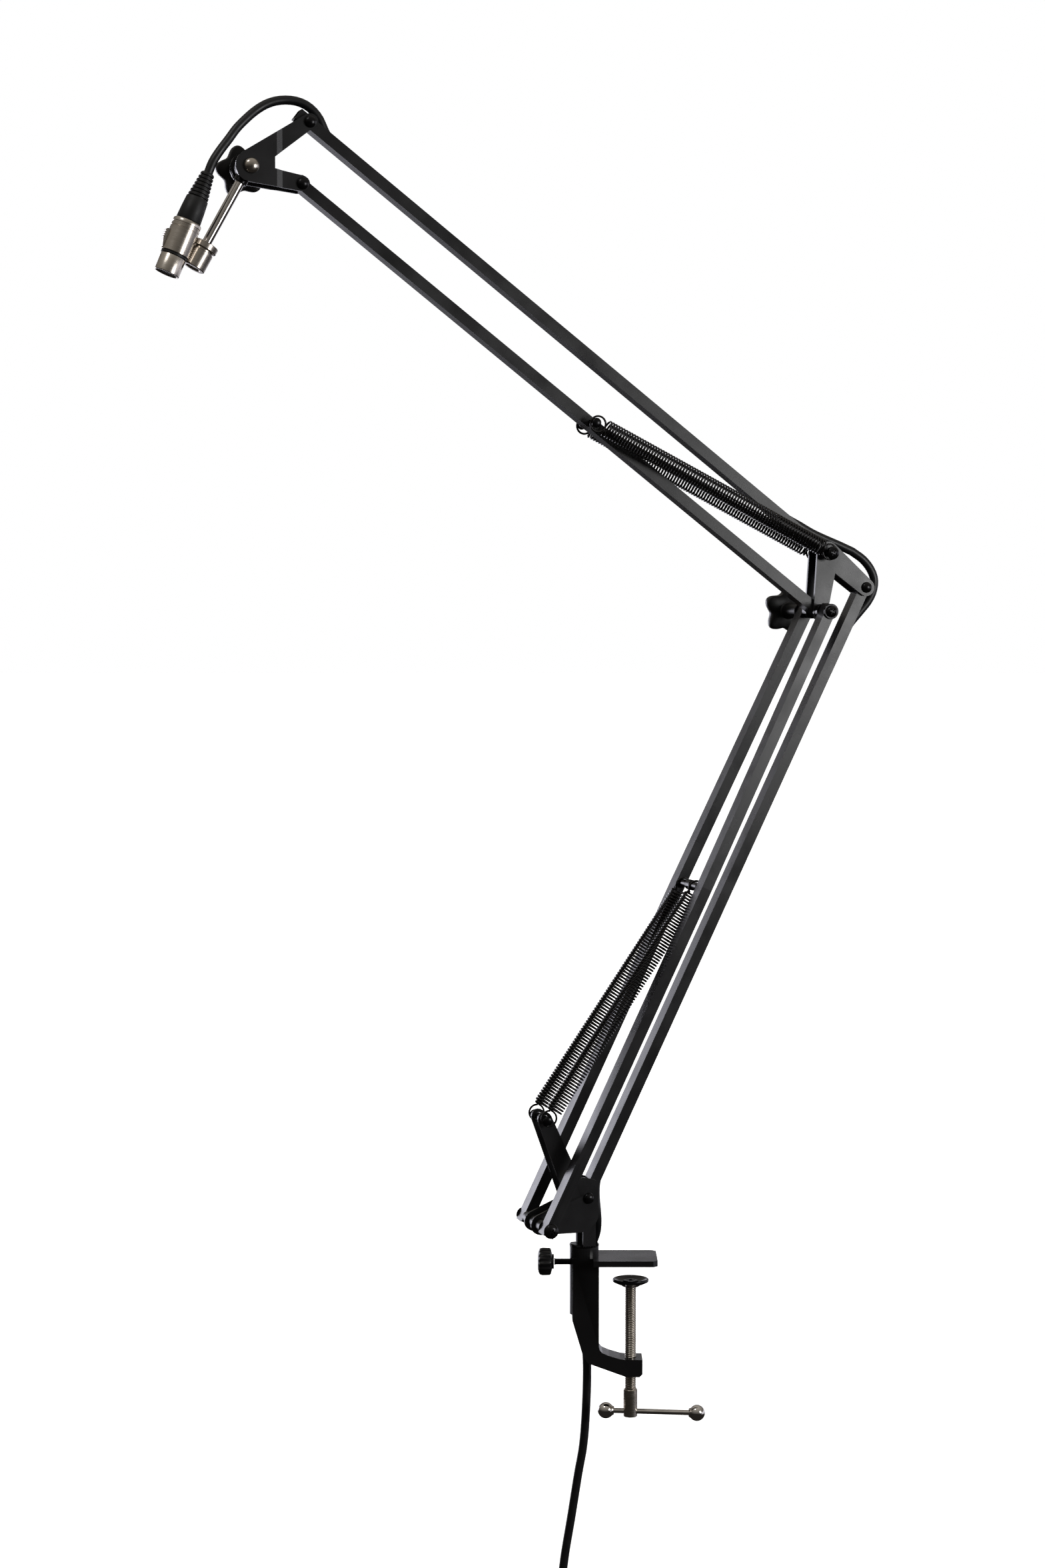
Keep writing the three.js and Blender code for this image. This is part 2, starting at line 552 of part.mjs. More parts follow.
function microphoneMount() {
  const mount = link(arm, headHub, MOUNT_ANGLE);
  const half = HUB_INNER - GAP;
  const hubProfile = [
    [PIN_HOLE, -half], [10, -half], [10, -half + 1.6], [8.6, -half + 1.6], [8.6, half - 1.6],
    [10, half - 1.6], [10, half], [PIN_HOLE, half], [PIN_HOLE, -half],
  ];
  const socket = barX(ROD_RADIUS + 1.6, 6.5, 12);
  const rodHole = barX(ROD_RADIUS + GAP, 7.5, 13);
  place(mount, "mount_hub", shaped([turned(hubProfile, 20), socket], [rodHole]), screwBlack);
  place(mount, "mount_rod", barX(ROD_RADIUS, 7.8, 60), chrome);
  const adapter = turnedX([
    [ROD_RADIUS + GAP, 58], [9, 58], [9, 62], [7.2, 62.4], [7.2, 63.6], [8, 64], [8, 75.4], [7.4, 76],
    [0, 76], [0, 60.3], [ROD_RADIUS + GAP, 60.3], [ROD_RADIUS + GAP, 58],
  ], 20);
  place(mount, "mount_adapter", adapter, nickel);
}

// ---- audio connectors, each built along X from the cable end to the contacts ----
function ribbedBoot() {
  const points = [[0, 0], [4, 0]];
  for (let rib = 0; rib < BOOT_RIBS; rib += 1) {
    const start = 0.8 + rib * 2.5;
    const radius = 4.6 + rib * 0.38;
    points.push([radius, start], [radius, start + 1.4], [radius - 0.6, start + 2]);
  }
  points.push([7.3, 18.5], [8.3, 34], [0, 34]);
  return turnedX(points, 12);
}

const plugTop = headHub.clone().add(new THREE.Vector2(-28.3, -5.8));

function femalePlug() {
  const plug = link(arm, plugTop, PLUG_ANGLE);
  plug.position.y = PLUG_SIDE;
  place(plug, "plug_boot", ribbedBoot(), rubberBlack);
  const shellProfile = turnedX([
    [0, 34.3], [8.7, 34.3], [9.5, 35.2], [9.5, 57.5], [7.9, 57.9], [7.9, 58.6], [8.4, 59], [8.4, 71],
    [7.2, 71], [7.2, 62], [0, 62],
  ], 20);
  const latchSlot = box(43.7, 56.3, -3.3, 3.3, -12, -6.7);
  place(plug, "plug_shell", shaped([shellProfile], [latchSlot]), nickel);
  const contactHoles = [0, 1, 2].map((index) => {
    const angle = (index - 1) * (Math.PI / 2.4) + Math.PI / 2;
    return barX(1, 64, 71, 0, 8).translate(0, 3.8 * Math.cos(angle), 3.8 * Math.sin(angle));
  });
  place(plug, "plug_insert", shaped([barX(6.9, 62.3, 70.2, 0, 20)], contactHoles), insertGrey);
  const button = box(44, 56, -3, 3, -11.2, -8.5);
  const ridges = [45, 47.4, 49.8].map((x) => box(x, x + 1.2, -3, 3, -11.8, -11));
  place(plug, "plug_latch", shaped([button, ...ridges]), nickel);
}

// ---- cable: the free stretches between the tubes, the tail and its put-away coil ----
const ringCentre = new THREE.Vector3(POST_X + 5, TAIL_SIDE, -296);
const strandTop = ringCentre.z + COIL_RADIUS + STRAND_OFFSET;

const relative = (base, list) => list.map(([x, y, z]) => [base.x + x, y, base.y + z]);

function armCables() {
  cable(arm, "head_cable", relative(headHub, [
    [-28.1, -7.6, -5.5], [-25.1, -7.6, 1.6], [-20.4, -7.1, 8.8], [-14.1, -6, 16.9], [-8.7, -4.7, 24],
    [-2.6, -3.4, 30.2], [3.9, -2.2, 35.9], [11, -1.2, 40.6], [18.1, -0.6, 43.4], [25.2, 0, 44.5],
    [32.2, 0, 44.1], [38.7, 0, 41.9], [44.1, 0, 37.9], [48, 0, 32.9], [50.8, 0, 26.8], [53.2, 0, 21.8],
    [57.2, 0, 17.6],
  ]));
  cable(arm, "elbow_cable_upper", relative(elbowFront, [
    [-21.6, 0, 63.6], [-13.2, 0, 59.3], [-4, 0, 54.3], [6, 0, 50], [15.7, 0, 46.2], [26.1, 0, 41.85],
  ]));
  cable(arm, "elbow_cable_lower", relative(elbowFront, [
    [27.2, 0, 41.3], [35, 0, 36], [40.5, 0, 29.7], [43.3, 0, 23.6], [43.6, 0, 18.3], [42.2, 0, 12.5],
    [38.8, 0, 6.5], [32.9, 0, -0.3], [25.5, 0, -8.6],
  ]));
  cable(arm, "base_cable", [
    [13.3, 0, 65], [10.3, 0, 56], [8.4, 0, 47], [8.3, 0, 38], [9.2, 0.3, 29], [10.4, 2.5, 21],
    [11.3, 7, 13], [11.2, 12.6, 5.8],
  ]);
}

// The tail comes down beside the clamp and bends in over the top of the coil.
function cableTail() {
  const x = POST_X;
  const bend = [0, 15, 30, 45.6].map((degrees) => {
    const reach = polar(TAIL_BEND, degrees);
    return [ringCentre.x - reach.x, TAIL_SIDE, strandTop + TAIL_BEND - reach.y];
  });
  cable(root, "cable_tail", [
    [x + 6.7, 16, 11], [x + 5.4, 17.2, 8.6], [x + 0.5, 18.9, 2], [x - 2.2, 18, -10],
    [x - 2, 16.8, -30], [x + 0.5, 16.3, -52],
    [x + 2.3, 16.5, -73], [x + 1.8, 17, -105], [x - 0.2, 17.5, -133], [x - 3.6, 18, -153],
    [x - 8.3, 18, -183], [x - 13.3, 18, -214], ...bend,
  ]);
  const bundle = ringPoints(10, () => BUNDLE_RADIUS).map(([x0, y0]) => [COIL_RADIUS + x0, y0]);
  const coil = turned([...bundle, bundle[0]], 36).translate(ringCentre.x, ringCentre.y, ringCentre.z);
  place(root, "cable_coil", coil, cableBlack);
  const strapInner = BUNDLE_RADIUS + 3 * GAP;
  const strap = turnedX([
    [strapInner, -6], [strapInner + 1.3, -6], [strapInner + 1.3, 6], [strapInner, 6], [strapInner, -6],
  ], 20);
  strap.translate(0, 0, COIL_RADIUS).rotateY(STRAP_TURN);
  strap.translate(ringCentre.x, ringCentre.y, ringCentre.z);
  place(root, "cable_strap", strap, strapBlack);
}

// The cable leaves the side of the coil and runs straight down into its plug.
function malePlug() {
  const plugX = ringCentre.x + COIL_RADIUS + 5.5;
  const plugY = ringCentre.y - 4.4;
  const bootTop = ringCentre.z - 38;
  cable(root, "cable_end", [
    [plugX, plugY, ringCentre.z - 26], [plugX, plugY, ringCentre.z - 32], [plugX, plugY, bootTop + GAP],
  ]);
  const plug = new THREE.Group();
  plug.position.set(plugX, plugY, bootTop);
  plug.rotation.y = Math.PI / 2;
  root.add(plug);
  place(plug, "male_plug_boot", ribbedBoot(), rubberBlack);
  const shell = turnedX([
    [0, 34.3], [8.7, 34.3], [9.5, 35.2], [9.5, 62], [8.3, 62], [8.3, 46], [0, 46],
  ], 20);
  place(plug, "male_plug_shell", shell, nickel);
  const disc = barX(8, 46.3, 49, 0, 20);
  const pins = [0, 1, 2].map((index) => {
    const angle = (index - 1) * (Math.PI / 2.4) + Math.PI / 2;
    return barX(1.2, 48, 60, 0, 8).translate(0, 4 * Math.cos(angle), 4 * Math.sin(angle));
  });
  place(plug, "male_plug_contacts", shaped([disc, ...pins]), insertGrey);
}

baseBracket();
lowerSection();
upperSection();
springs();
elbowBracket();
headBracket();
microphoneMount();
femalePlug();
armCables();
cableTail();
malePlug();

export default root;
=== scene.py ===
"""Looks for the desk-clamp microphone boom arm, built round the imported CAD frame.

Lengths are written in millimetres and turned into metres where a mesh is made.
The arm lies in a vertical plane that is swivelled about the clamp's post: "u" runs along that
plane, "side" along the pivot pins (positive on the far side) and "z" is height.
"""
import math

import bmesh
import bpy
from mathutils import Matrix, Vector


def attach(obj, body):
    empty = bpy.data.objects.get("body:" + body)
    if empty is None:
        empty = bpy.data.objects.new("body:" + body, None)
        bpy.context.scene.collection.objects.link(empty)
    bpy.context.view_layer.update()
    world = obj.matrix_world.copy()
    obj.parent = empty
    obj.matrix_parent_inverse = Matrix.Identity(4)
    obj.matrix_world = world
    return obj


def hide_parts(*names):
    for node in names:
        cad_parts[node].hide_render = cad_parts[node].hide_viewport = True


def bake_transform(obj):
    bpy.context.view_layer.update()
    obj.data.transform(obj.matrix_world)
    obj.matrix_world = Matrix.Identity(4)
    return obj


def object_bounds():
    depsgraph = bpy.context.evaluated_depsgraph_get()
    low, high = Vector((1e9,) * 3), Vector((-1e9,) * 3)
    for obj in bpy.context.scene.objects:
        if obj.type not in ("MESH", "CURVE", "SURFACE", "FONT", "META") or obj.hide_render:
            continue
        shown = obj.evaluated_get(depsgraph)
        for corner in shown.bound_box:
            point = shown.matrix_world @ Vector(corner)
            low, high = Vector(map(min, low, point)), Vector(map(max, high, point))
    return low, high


MM = 0.001

# ---- sizes shared with the CAD part ----
POST_X = -32
SWIVEL = 17.5
ARM_RISE = 6
SECTION = 465
UPPER_SECTION = 462.3
LOWER_ANGLE = 64
UPPER_ANGLE = 142.7
SPRING_REACH = 210
LOWER_SPRING_TOP = 12.6
LOWER_SPRING_BOTTOM = 14
UPPER_SPRING_OUT = 14.6
SPRING_RADIUS = 6
WIRE_RADIUS = 0.7
PIN_RADIUS = 2.5
CABLE_RADIUS = 3
PLATE_OUTER = 8.3
PLATE_THICKNESS = 2
HUB_OUTER = 9.8
FRONT_BASE = 25
FRONT_ELBOW = 20
TUBE_WIDTH = 11.5
GAP = 0.3
MOUNT_ANGLE = -119.3
PLUG_ANGLE = -113
PLUG_SIDE = -7.6
LOCK_HEIGHT = 0
TOMMY_HEIGHT = -104.4
TOMMY_TURN = -6.5
TOMMY_RADIUS = 1.8
BALL_RADIUS = 5.6
SCREW_RADIUS = 4
LOCK_STEM_RADIUS = 2.3
COIL_RADIUS = 36
STRAND_OFFSET = 7.05
COIL_TURNS = 6.25
STRANDS = 7
BUNDLE_RADIUS = 10.2
STRAP_TURN = 24
TAIL_BEND = 20
TAIL_SIDE = 18
ROD_RADIUS = 3.2
STAR_RADIUS = 17
STAR_THICKNESS = 7.5
ELBOW_KNOB_HUB = 24
ELBOW_KNOB_TURN = 8
HEAD_KNOB_HUB = 9
HEAD_KNOB_TURN = 28

# ---- sizes of the looks alone ----
SHARP_ANGLE = 35
BEVEL_ANGLE = 30
STAR_LOBES = 5
STAR_LOBE_DEPTH = 0.13
STAR_LOBED_FROM = 12
SPRING_PITCH = 2.1
SPRING_STEPS = 18
CABLE_STEP = 3
COIL_STEPS = 24
STRAP_THICKNESS = 1.6
STRAP_WIDTH = 12
KEY_ANGLE = 75
RECESS_HALF_WIDTH = 0.55
RECESS_REACH = 2.1
RECESS_DEPTH = 1.3
RECESS_TURN = 20
RING_RADIUS = 5

# ---- sockets of a Mix node that hold its colours ----
MIX_FIRST = 6
MIX_SECOND = 7
MIX_RESULT = 2

# ---- light that the object meets ----
ROOM_LOW = (0.02, 0.018, 0.016)
ROOM_HIGH = (0.36, 0.34, 0.31)
ROOM_BAND = (3.4, 3.4, 3.8)

# ---- camera, fitted to the pivot pins ----
CAMERA_AT = (-0.0745, -2.180, 0.464)
CAMERA_PITCH = 3.53
CAMERA_LENS = 73.47


def polar(length, degrees):
    """The two parts of a length at an angle from the first."""
    angle = math.radians(degrees)
    return (length * math.cos(angle), length * math.sin(angle))


def plus(a, b):
    """The sum of two (u, z) points."""
    return (a[0] + b[0], a[1] + b[1])


REAR_OFFSET = polar(38.1, 25.6)
TOP_OFFSET = polar(40.6, 82.5)
BASE_FRONT = (-34, 23)
BASE_REAR = plus(BASE_FRONT, REAR_OFFSET)
SPRING_ARM = plus(BASE_FRONT, (2.9, 72.6))
LOWER_CROSS = plus(BASE_FRONT, polar(SECTION - SPRING_REACH, LOWER_ANGLE))
ELBOW_FRONT = plus(BASE_FRONT, polar(SECTION, LOWER_ANGLE))
ELBOW_REAR = plus(ELBOW_FRONT, REAR_OFFSET)
ELBOW_TOP = plus(ELBOW_FRONT, TOP_OFFSET)
UPPER_ANCHOR = plus(ELBOW_FRONT, polar(SPRING_REACH, UPPER_ANGLE))
HEAD_LOWER = plus(ELBOW_FRONT, polar(UPPER_SECTION, UPPER_ANGLE))
HEAD_UPPER = plus(HEAD_LOWER, TOP_OFFSET)
HEAD_HUB = plus(HEAD_LOWER, (-34.5, 10.2))
PLUG_TOP = plus(HEAD_HUB, (-28.3, -5.8))
COIL_CENTRE = Vector((POST_X + 5, TAIL_SIDE, -296))
MALE_PLUG = Vector((COIL_CENTRE.x + 41.5, TAIL_SIDE - 4.4, COIL_CENTRE.z - 38))

ARM_FOOT = Matrix.Translation((POST_X * MM, 0, ARM_RISE * MM))
ARM = ARM_FOOT @ Matrix.Rotation(math.radians(SWIVEL), 4, "Z")

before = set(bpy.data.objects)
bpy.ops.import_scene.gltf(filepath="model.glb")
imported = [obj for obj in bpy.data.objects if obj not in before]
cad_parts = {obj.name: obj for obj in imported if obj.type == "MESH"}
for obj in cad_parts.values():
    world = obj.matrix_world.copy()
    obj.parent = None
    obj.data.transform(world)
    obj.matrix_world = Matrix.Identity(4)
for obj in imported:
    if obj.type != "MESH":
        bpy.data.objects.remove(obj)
cad_low, cad_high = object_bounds()


# ---- places ----
def arm_point(u, side, z):
    """A point of the arm's plane in the row frame, in metres."""
    return ARM @ Vector((u * MM, side * MM, z * MM))


def arm_place(at, side=0.0, degrees=0.0):
    """A frame at a point of the arm's plane, with X along the given angle and Y along the pins."""
    turn = Matrix.Rotation(-math.radians(degrees), 4, "Y")
    return ARM @ Matrix.Translation((at[0] * MM, side * MM, at[1] * MM)) @ turn


def row_place(x, y, z):
    """A frame at a row point in millimetres, with its X along the row's X."""
    return Matrix.Translation((x * MM, y * MM, z * MM))


def hanging_place(x, y, z):
    """A frame at a row point in millimetres, with its X straight down."""
    return row_place(x, y, z) @ Matrix.Rotation(math.pi / 2, 4, "Y")


def pin_place(at):
    """A frame whose X runs along a pivot pin, towards the far side."""
    return arm_place(at) @ Matrix.Rotation(math.pi / 2, 4, "Z")


# ---- camera ----
def make_camera():
    """A camera at the photograph's viewing angle."""
    camera = bpy.data.objects.new("camera", bpy.data.cameras.new("camera"))
    bpy.context.scene.collection.objects.link(camera)
    camera.location = CAMERA_AT
    camera.rotation_euler = (math.radians(90 - CAMERA_PITCH), 0, 0)
    camera.data.lens = CAMERA_LENS
    camera.data.sensor_width = 36
    camera.data.clip_end = 100
    bpy.context.scene.camera = camera


make_camera()


# ---- curves ----
def smooth_path(points, step):
    """Points about a step apart on the centripetal Catmull-Rom curve through the given points."""
    points = [Vector(p) for p in points]
    ends = [2 * points[0] - points[1], *points, 2 * points[-1] - points[-2]]
    found = [points[0]]
    for before, start, stop, after in zip(ends, ends[1:], ends[2:], ends[3:]):
        t1 = (start - before).length ** 0.5
        t2 = t1 + (stop - start).length ** 0.5
        t3 = t2 + (after - stop).length ** 0.5
        count = max(2, round((stop - start).length / step))
        for index in range(1, count + 1):
            t = t1 + (t2 - t1) * index / count
            a1 = before.lerp(start, t / t1)
            a2 = start.lerp(stop, (t - t1) / (t2 - t1))
            a3 = stop.lerp(after, (t - t2) / (t3 - t2))
            b1 = a1.lerp(a2, t / t2)
            b2 = a2.lerp(a3, (t - t1) / (t3 - t1))
            found.append(b1.lerp(b2, (t - t1) / (t2 - t1)))
    return found


def carried_frames(path):
    """Two directions square to the path at each point, carried along it without twist."""
    tangents = []
    for index in range(len(path)):
        ahead = path[min(index + 1, len(path) - 1)]
        behind = path[max(index - 1, 0)]
        tangents.append((ahead - behind).normalized())
    side = tangents[0].orthogonal().normalized()
    frames = []
    for tangent in tangents:
        side = (side - tangent * side.dot(tangent)).normalized()
        frames.append((side, tangent.cross(side)))
    return frames


# ---- meshes ----
def new_piece(name, points, faces, look, place=None, sharp=SHARP_ANGLE):
    """An object from points in metres, smooth except at edges above the sharp angle."""
    mesh = bpy.data.meshes.new(name)
    mesh.from_pydata([tuple(p) for p in points], [], faces)
    mesh.validate()
    mesh.update()
    work = bmesh.new()
    work.from_mesh(mesh)
    bmesh.ops.recalc_face_normals(work, faces=work.faces)
    work.to_mesh(mesh)
    work.free()
    mesh.shade_smooth()
    mesh.set_sharp_from_angle(angle=math.radians(sharp))
    piece = bpy.data.objects.new(name, mesh)
    bpy.context.scene.collection.objects.link(piece)
    if place is not None:
        piece.matrix_world = place
    mesh.materials.append(look)
    return piece


def tube(name, path, radius, look, sides=20):
    """A closed round tube along a path of points in metres."""
    points = []
    faces = []
    for centre, (side, up) in zip(path, carried_frames(path)):
        for index in range(sides):
            angle = 2 * math.pi * index / sides
            points.append(centre + radius * (math.cos(angle) * side + math.sin(angle) * up))
    for ring in range(len(path) - 1):
        for index in range(sides):
            a = ring * sides + index
            b = ring * sides + (index + 1) % sides
            faces.append((a, b, b + sides, a + sides))
    faces.append(tuple(range(sides))[::-1])
    faces.append(tuple(range(len(points) - sides, len(points))))
    return new_piece(name, points, faces, look, sharp=60)


def turned(name, profile, look, place, segments=64, bevel=0.0, ripple=None):
    """A piece turned round its own X axis from (radius, x) pairs in millimetres.
    A profile that ends where it starts makes a ring. ripple(angle, radius, x) may change a radius."""
    ring = profile[0] == profile[-1]
    rows = profile[:-1] if ring else profile
    points = []
    starts = []
    for radius, x in rows:
        starts.append(len(points))
        if radius == 0:
            points.append((x * MM, 0, 0))
            continue
        for index in range(segments):
            angle = 2 * math.pi * index / segments
            r = ripple(angle, radius, x) if ripple else radius
            points.append((x * MM, r * MM * math.cos(angle), r * MM * math.sin(angle)))
    faces = []
    pairs = list(range(len(rows) - 1)) + ([len(rows) - 1] if ring else [])
    for row in pairs:
        nxt = (row + 1) % len(rows)
        for index in range(segments):
            after = (index + 1) % segments
            if rows[row][0] == 0:
                faces.append((starts[row], starts[nxt] + index, starts[nxt] + after))
            elif rows[nxt][0] == 0:
                faces.append((starts[row] + index, starts[nxt], starts[row] + after))
            else:
                faces.append((starts[row] + index, starts[nxt] + index,
                              starts[nxt] + after, starts[row] + after))
    piece = new_piece(name, points, faces, look, place)
    if bevel:
        add_bevel(piece, bevel)
    return piece


def add_bevel(piece, width, segments=2):
    """Rounds the sharp edges by a width in millimetres."""
    bevel = piece.modifiers.new("edge", "BEVEL")
    bevel.width = width * MM
    bevel.segments = segments
    bevel.limit_method = "ANGLE"
    bevel.angle_limit = math.radians(BEVEL_ANGLE)
    bevel.harden_normals = True
    bevel.use_clamp_overlap = True


# ---- materials ----
def start_material(name, base, roughness, metallic=0.0, sheen=0.0):
    """A material with its uniform values set, its node tree and its shader."""
    material = bpy.data.materials.new(name)
    material.use_nodes = True
    shader = material.node_tree.nodes["Principled BSDF"]
    shader.inputs["Base Color"].default_value = (*base, 1)
    shader.inputs["Roughness"].default_value = roughness
    shader.inputs["Metallic"].default_value = metallic
    shader.inputs["Sheen Weight"].default_value = sheen
    return material, material.node_tree, shader


def add_node(tree, kind, **values):
    """A node with the given sockets, or settings where no socket has that name."""
    node = tree.nodes.new(kind)
    for key, value in values.items():
        if key in node.inputs:
            node.inputs[key].default_value = value
        else:
            setattr(node, key, value)
    return node


def object_noise(tree, scale, detail=3.0, stretch=(1, 1, 1)):
    """Noise in the piece's own coordinates, in metres."""
    place = tree.nodes.new("ShaderNodeTexCoord")
    mapping = tree.nodes.new("ShaderNodeMapping")
    mapping.inputs["Scale"].default_value = stretch
    field = add_node(tree, "ShaderNodeTexNoise", Scale=scale, Detail=detail)
    tree.links.new(place.outputs["Object"], mapping.inputs["Vector"])
    tree.links.new(mapping.outputs["Vector"], field.inputs["Vector"])
    return field.outputs["Fac"]


def ranged(tree, value, low, high, start=0.3, stop=0.7):
    """Low where the value is at or below start, high at or above stop, and even between them."""
    node = add_node(tree, "ShaderNodeMapRange")
    node.inputs["From Min"].default_value = start
    node.inputs["From Max"].default_value = stop
    node.inputs["To Min"].default_value = low
    node.inputs["To Max"].default_value = high
    tree.links.new(value, node.inputs["Value"])
    return node.outputs["Result"]


def mixed_colour(tree, factor, first, second):
    """The first colour where the factor is 0 and the second where it is 1."""
    node = add_node(tree, "ShaderNodeMix", data_type="RGBA")
    node.inputs[MIX_FIRST].default_value = (*first, 1)
    node.inputs[MIX_SECOND].default_value = (*second, 1)
    tree.links.new(factor, node.inputs["Factor"])
    return node.outputs[MIX_RESULT]


def product(tree, values):
    """The values multiplied together."""
    result = values[0]
    for value in values[1:]:
        node = add_node(tree, "ShaderNodeMath", operation="MULTIPLY")
        tree.links.new(result, node.inputs[0])
        tree.links.new(value, node.inputs[1])
        result = node.outputs[0]
    return result


def bumped(tree, shader, height, distance):
    """Relief as deep as the distance in millimetres."""
    node = add_node(tree, "ShaderNodeBump", Strength=1.0, Distance=distance * MM)
    tree.links.new(height, node.inputs["Height"])
    tree.links.new(node.outputs["Normal"], shader.inputs["Normal"])


def worn_edges(tree):
    """1 on convex edges and 0 elsewhere."""
    shape = tree.nodes.new("ShaderNodeNewGeometry")
    return ranged(tree, shape.outputs["Pointiness"], 0.0, 1.0, 0.505, 0.56)


def painted(name, base, light, roughness, grain=0.012, scale=1500):
    """Black paint: a fine orange peel, slow changes in gloss and slightly polished edges."""
    material, tree, shader = start_material(name, base, roughness)
    patches = object_noise(tree, 45, 4)
    edges = worn_edges(tree)
    tone = mixed_colour(tree, edges, base, light)
    tree.links.new(tone, shader.inputs["Base Color"])
    gloss = ranged(tree, patches, roughness - 0.06, roughness + 0.07)
    tree.links.new(gloss, shader.inputs["Roughness"])
    bumped(tree, shader, object_noise(tree, scale, 2), grain)
    return material


def turned_metal(name, base, dark, roughness, metallic=1.0, grain=0.001):
    """Plated metal with fine turning marks round the piece's own X axis."""
    material, tree, shader = start_material(name, base, roughness, metallic)
    stains = object_noise(tree, 160, 5)
    tone = mixed_colour(tree, ranged(tree, stains, 0, 1, 0.35, 0.75), base, dark)
    tree.links.new(tone, shader.inputs["Base Color"])
    marks = object_noise(tree, 4000, 2, (1, 0.02, 0.02))
    gloss = ranged(tree, marks, roughness - 0.05, roughness + 0.08)
    tree.links.new(gloss, shader.inputs["Roughness"])
    bumped(tree, shader, marks, grain)
    return material


def moulded(name, base, light, roughness, grain, scale):
    """Moulded plastic, rubber or a cable jacket: a fine grain and slow changes of tone."""
    material, tree, shader = start_material(name, base, roughness)
    tone = mixed_colour(tree, ranged(tree, object_noise(tree, 70, 5), 0, 1), base, light)
    tree.links.new(tone, shader.inputs["Base Color"])
    gloss = ranged(tree, object_noise(tree, 220, 3), roughness - 0.06, roughness + 0.08)
    tree.links.new(gloss, shader.inputs["Roughness"])
    bumped(tree, shader, object_noise(tree, scale, 3), grain)
    return material


def woven(name, base, light):
    """Hook-and-loop tape: a crossed weave with a fuzzy sheen."""
    material, tree, shader = start_material(name, base, 0.85, sheen=0.4)
    place = tree.nodes.new("ShaderNodeTexCoord")
    threads = []
    for direction in ("X", "Z"):
        wave = add_node(tree, "ShaderNodeTexWave", Scale=260, Distortion=1.5, Detail=2.0)
        wave.bands_direction = direction
        tree.links.new(place.outputs["Object"], wave.inputs["Vector"])
        threads.append(wave.outputs["Fac"])
    weave = add_node(tree, "ShaderNodeMath", operation="MAXIMUM")
    tree.links.new(threads[0], weave.inputs[0])
    tree.links.new(threads[1], weave.inputs[1])
    tree.links.new(mixed_colour(tree, weave.outputs[0], base, light), shader.inputs["Base Color"])
    bumped(tree, shader, weave.outputs[0], 0.15)
    return material


POWDER = painted("powder_coat", (0.004, 0.0038, 0.0043), (0.02, 0.02, 0.022), 0.27)
CAST = painted("cast_paint", (0.002, 0.002, 0.0022), (0.012, 0.012, 0.013), 0.26, 0.02, 900)
SPRING_WIRE = turned_metal("spring_wire", (0.022, 0.02, 0.02), (0.009, 0.008, 0.009), 0.2, 0.5)
BLACKENED = turned_metal("blackened_steel", (0.02, 0.0195, 0.021), (0.008, 0.008, 0.009), 0.22, 0.7,
                         0.002)
NICKEL = turned_metal("satin_nickel", (0.64, 0.59, 0.53), (0.52, 0.47, 0.41), 0.25, grain=0.0012)
CHROME = turned_metal("chrome", (0.80, 0.77, 0.74), (0.66, 0.62, 0.58), 0.09)
PLASTIC = moulded("moulded_plastic", (0.005, 0.005, 0.0056), (0.009, 0.009, 0.01), 0.36, 0.02, 1800)
RUBBER = moulded("boot_rubber", (0.004, 0.004, 0.0045), (0.008, 0.008, 0.0085), 0.5, 0.02, 2200)
JACKET = moulded("cable_jacket", (0.005, 0.0054, 0.0064), (0.009, 0.0095, 0.011), 0.4, 0.015, 1400)
INSERT = moulded("insert_plastic", (0.26, 0.26, 0.27), (0.33, 0.33, 0.34), 0.5, 0.015, 1600)
DARK = moulded("dark_socket", (0.006, 0.006, 0.006), (0.012, 0.012, 0.012), 0.7, 0.01, 1500)
STRAP = woven("strap_weave", (0.01, 0.01, 0.01), (0.035, 0.035, 0.036))


# ---- riding and standing in ----
def finish_piece(piece, body, node):
    """The piece rides on a body and stands in for a CAD node."""
    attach(piece, body)
    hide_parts(node)
    return piece


def hold(child, piece):
    """The child rides with a piece, and stays where it is."""
    child.parent = piece
    child.matrix_parent_inverse = piece.matrix_world.inverted()


# ---- cables ----
def arm_route(base, route):
    """Route points (u, side, z) from a pivot, as row points in metres."""
    return [arm_point(base[0] + u, side, base[1] + z) for u, side, z in route]


def cable(name, route, nodes):
    """A free stretch of the cable along its route, standing in for the given CAD nodes."""
    path = smooth_path(route, CABLE_STEP * MM)
    piece = tube(name, path, CABLE_RADIUS * MM, JACKET)
    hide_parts(*nodes)
    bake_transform(piece)


def coil_route():
    """The wound turns: seven strands spaced evenly round the bundle, one place on per turn."""
    route = []
    for index in range(round(COIL_TURNS * COIL_STEPS) + 1):
        turn = 2 * math.pi * index / COIL_STEPS
        shift = turn / STRANDS
        reach = COIL_RADIUS + STRAND_OFFSET * math.cos(shift)
        side = STRAND_OFFSET * math.sin(shift)
        route.append(COIL_CENTRE + Vector((reach * math.sin(turn), side, reach * math.cos(turn))))
    return route


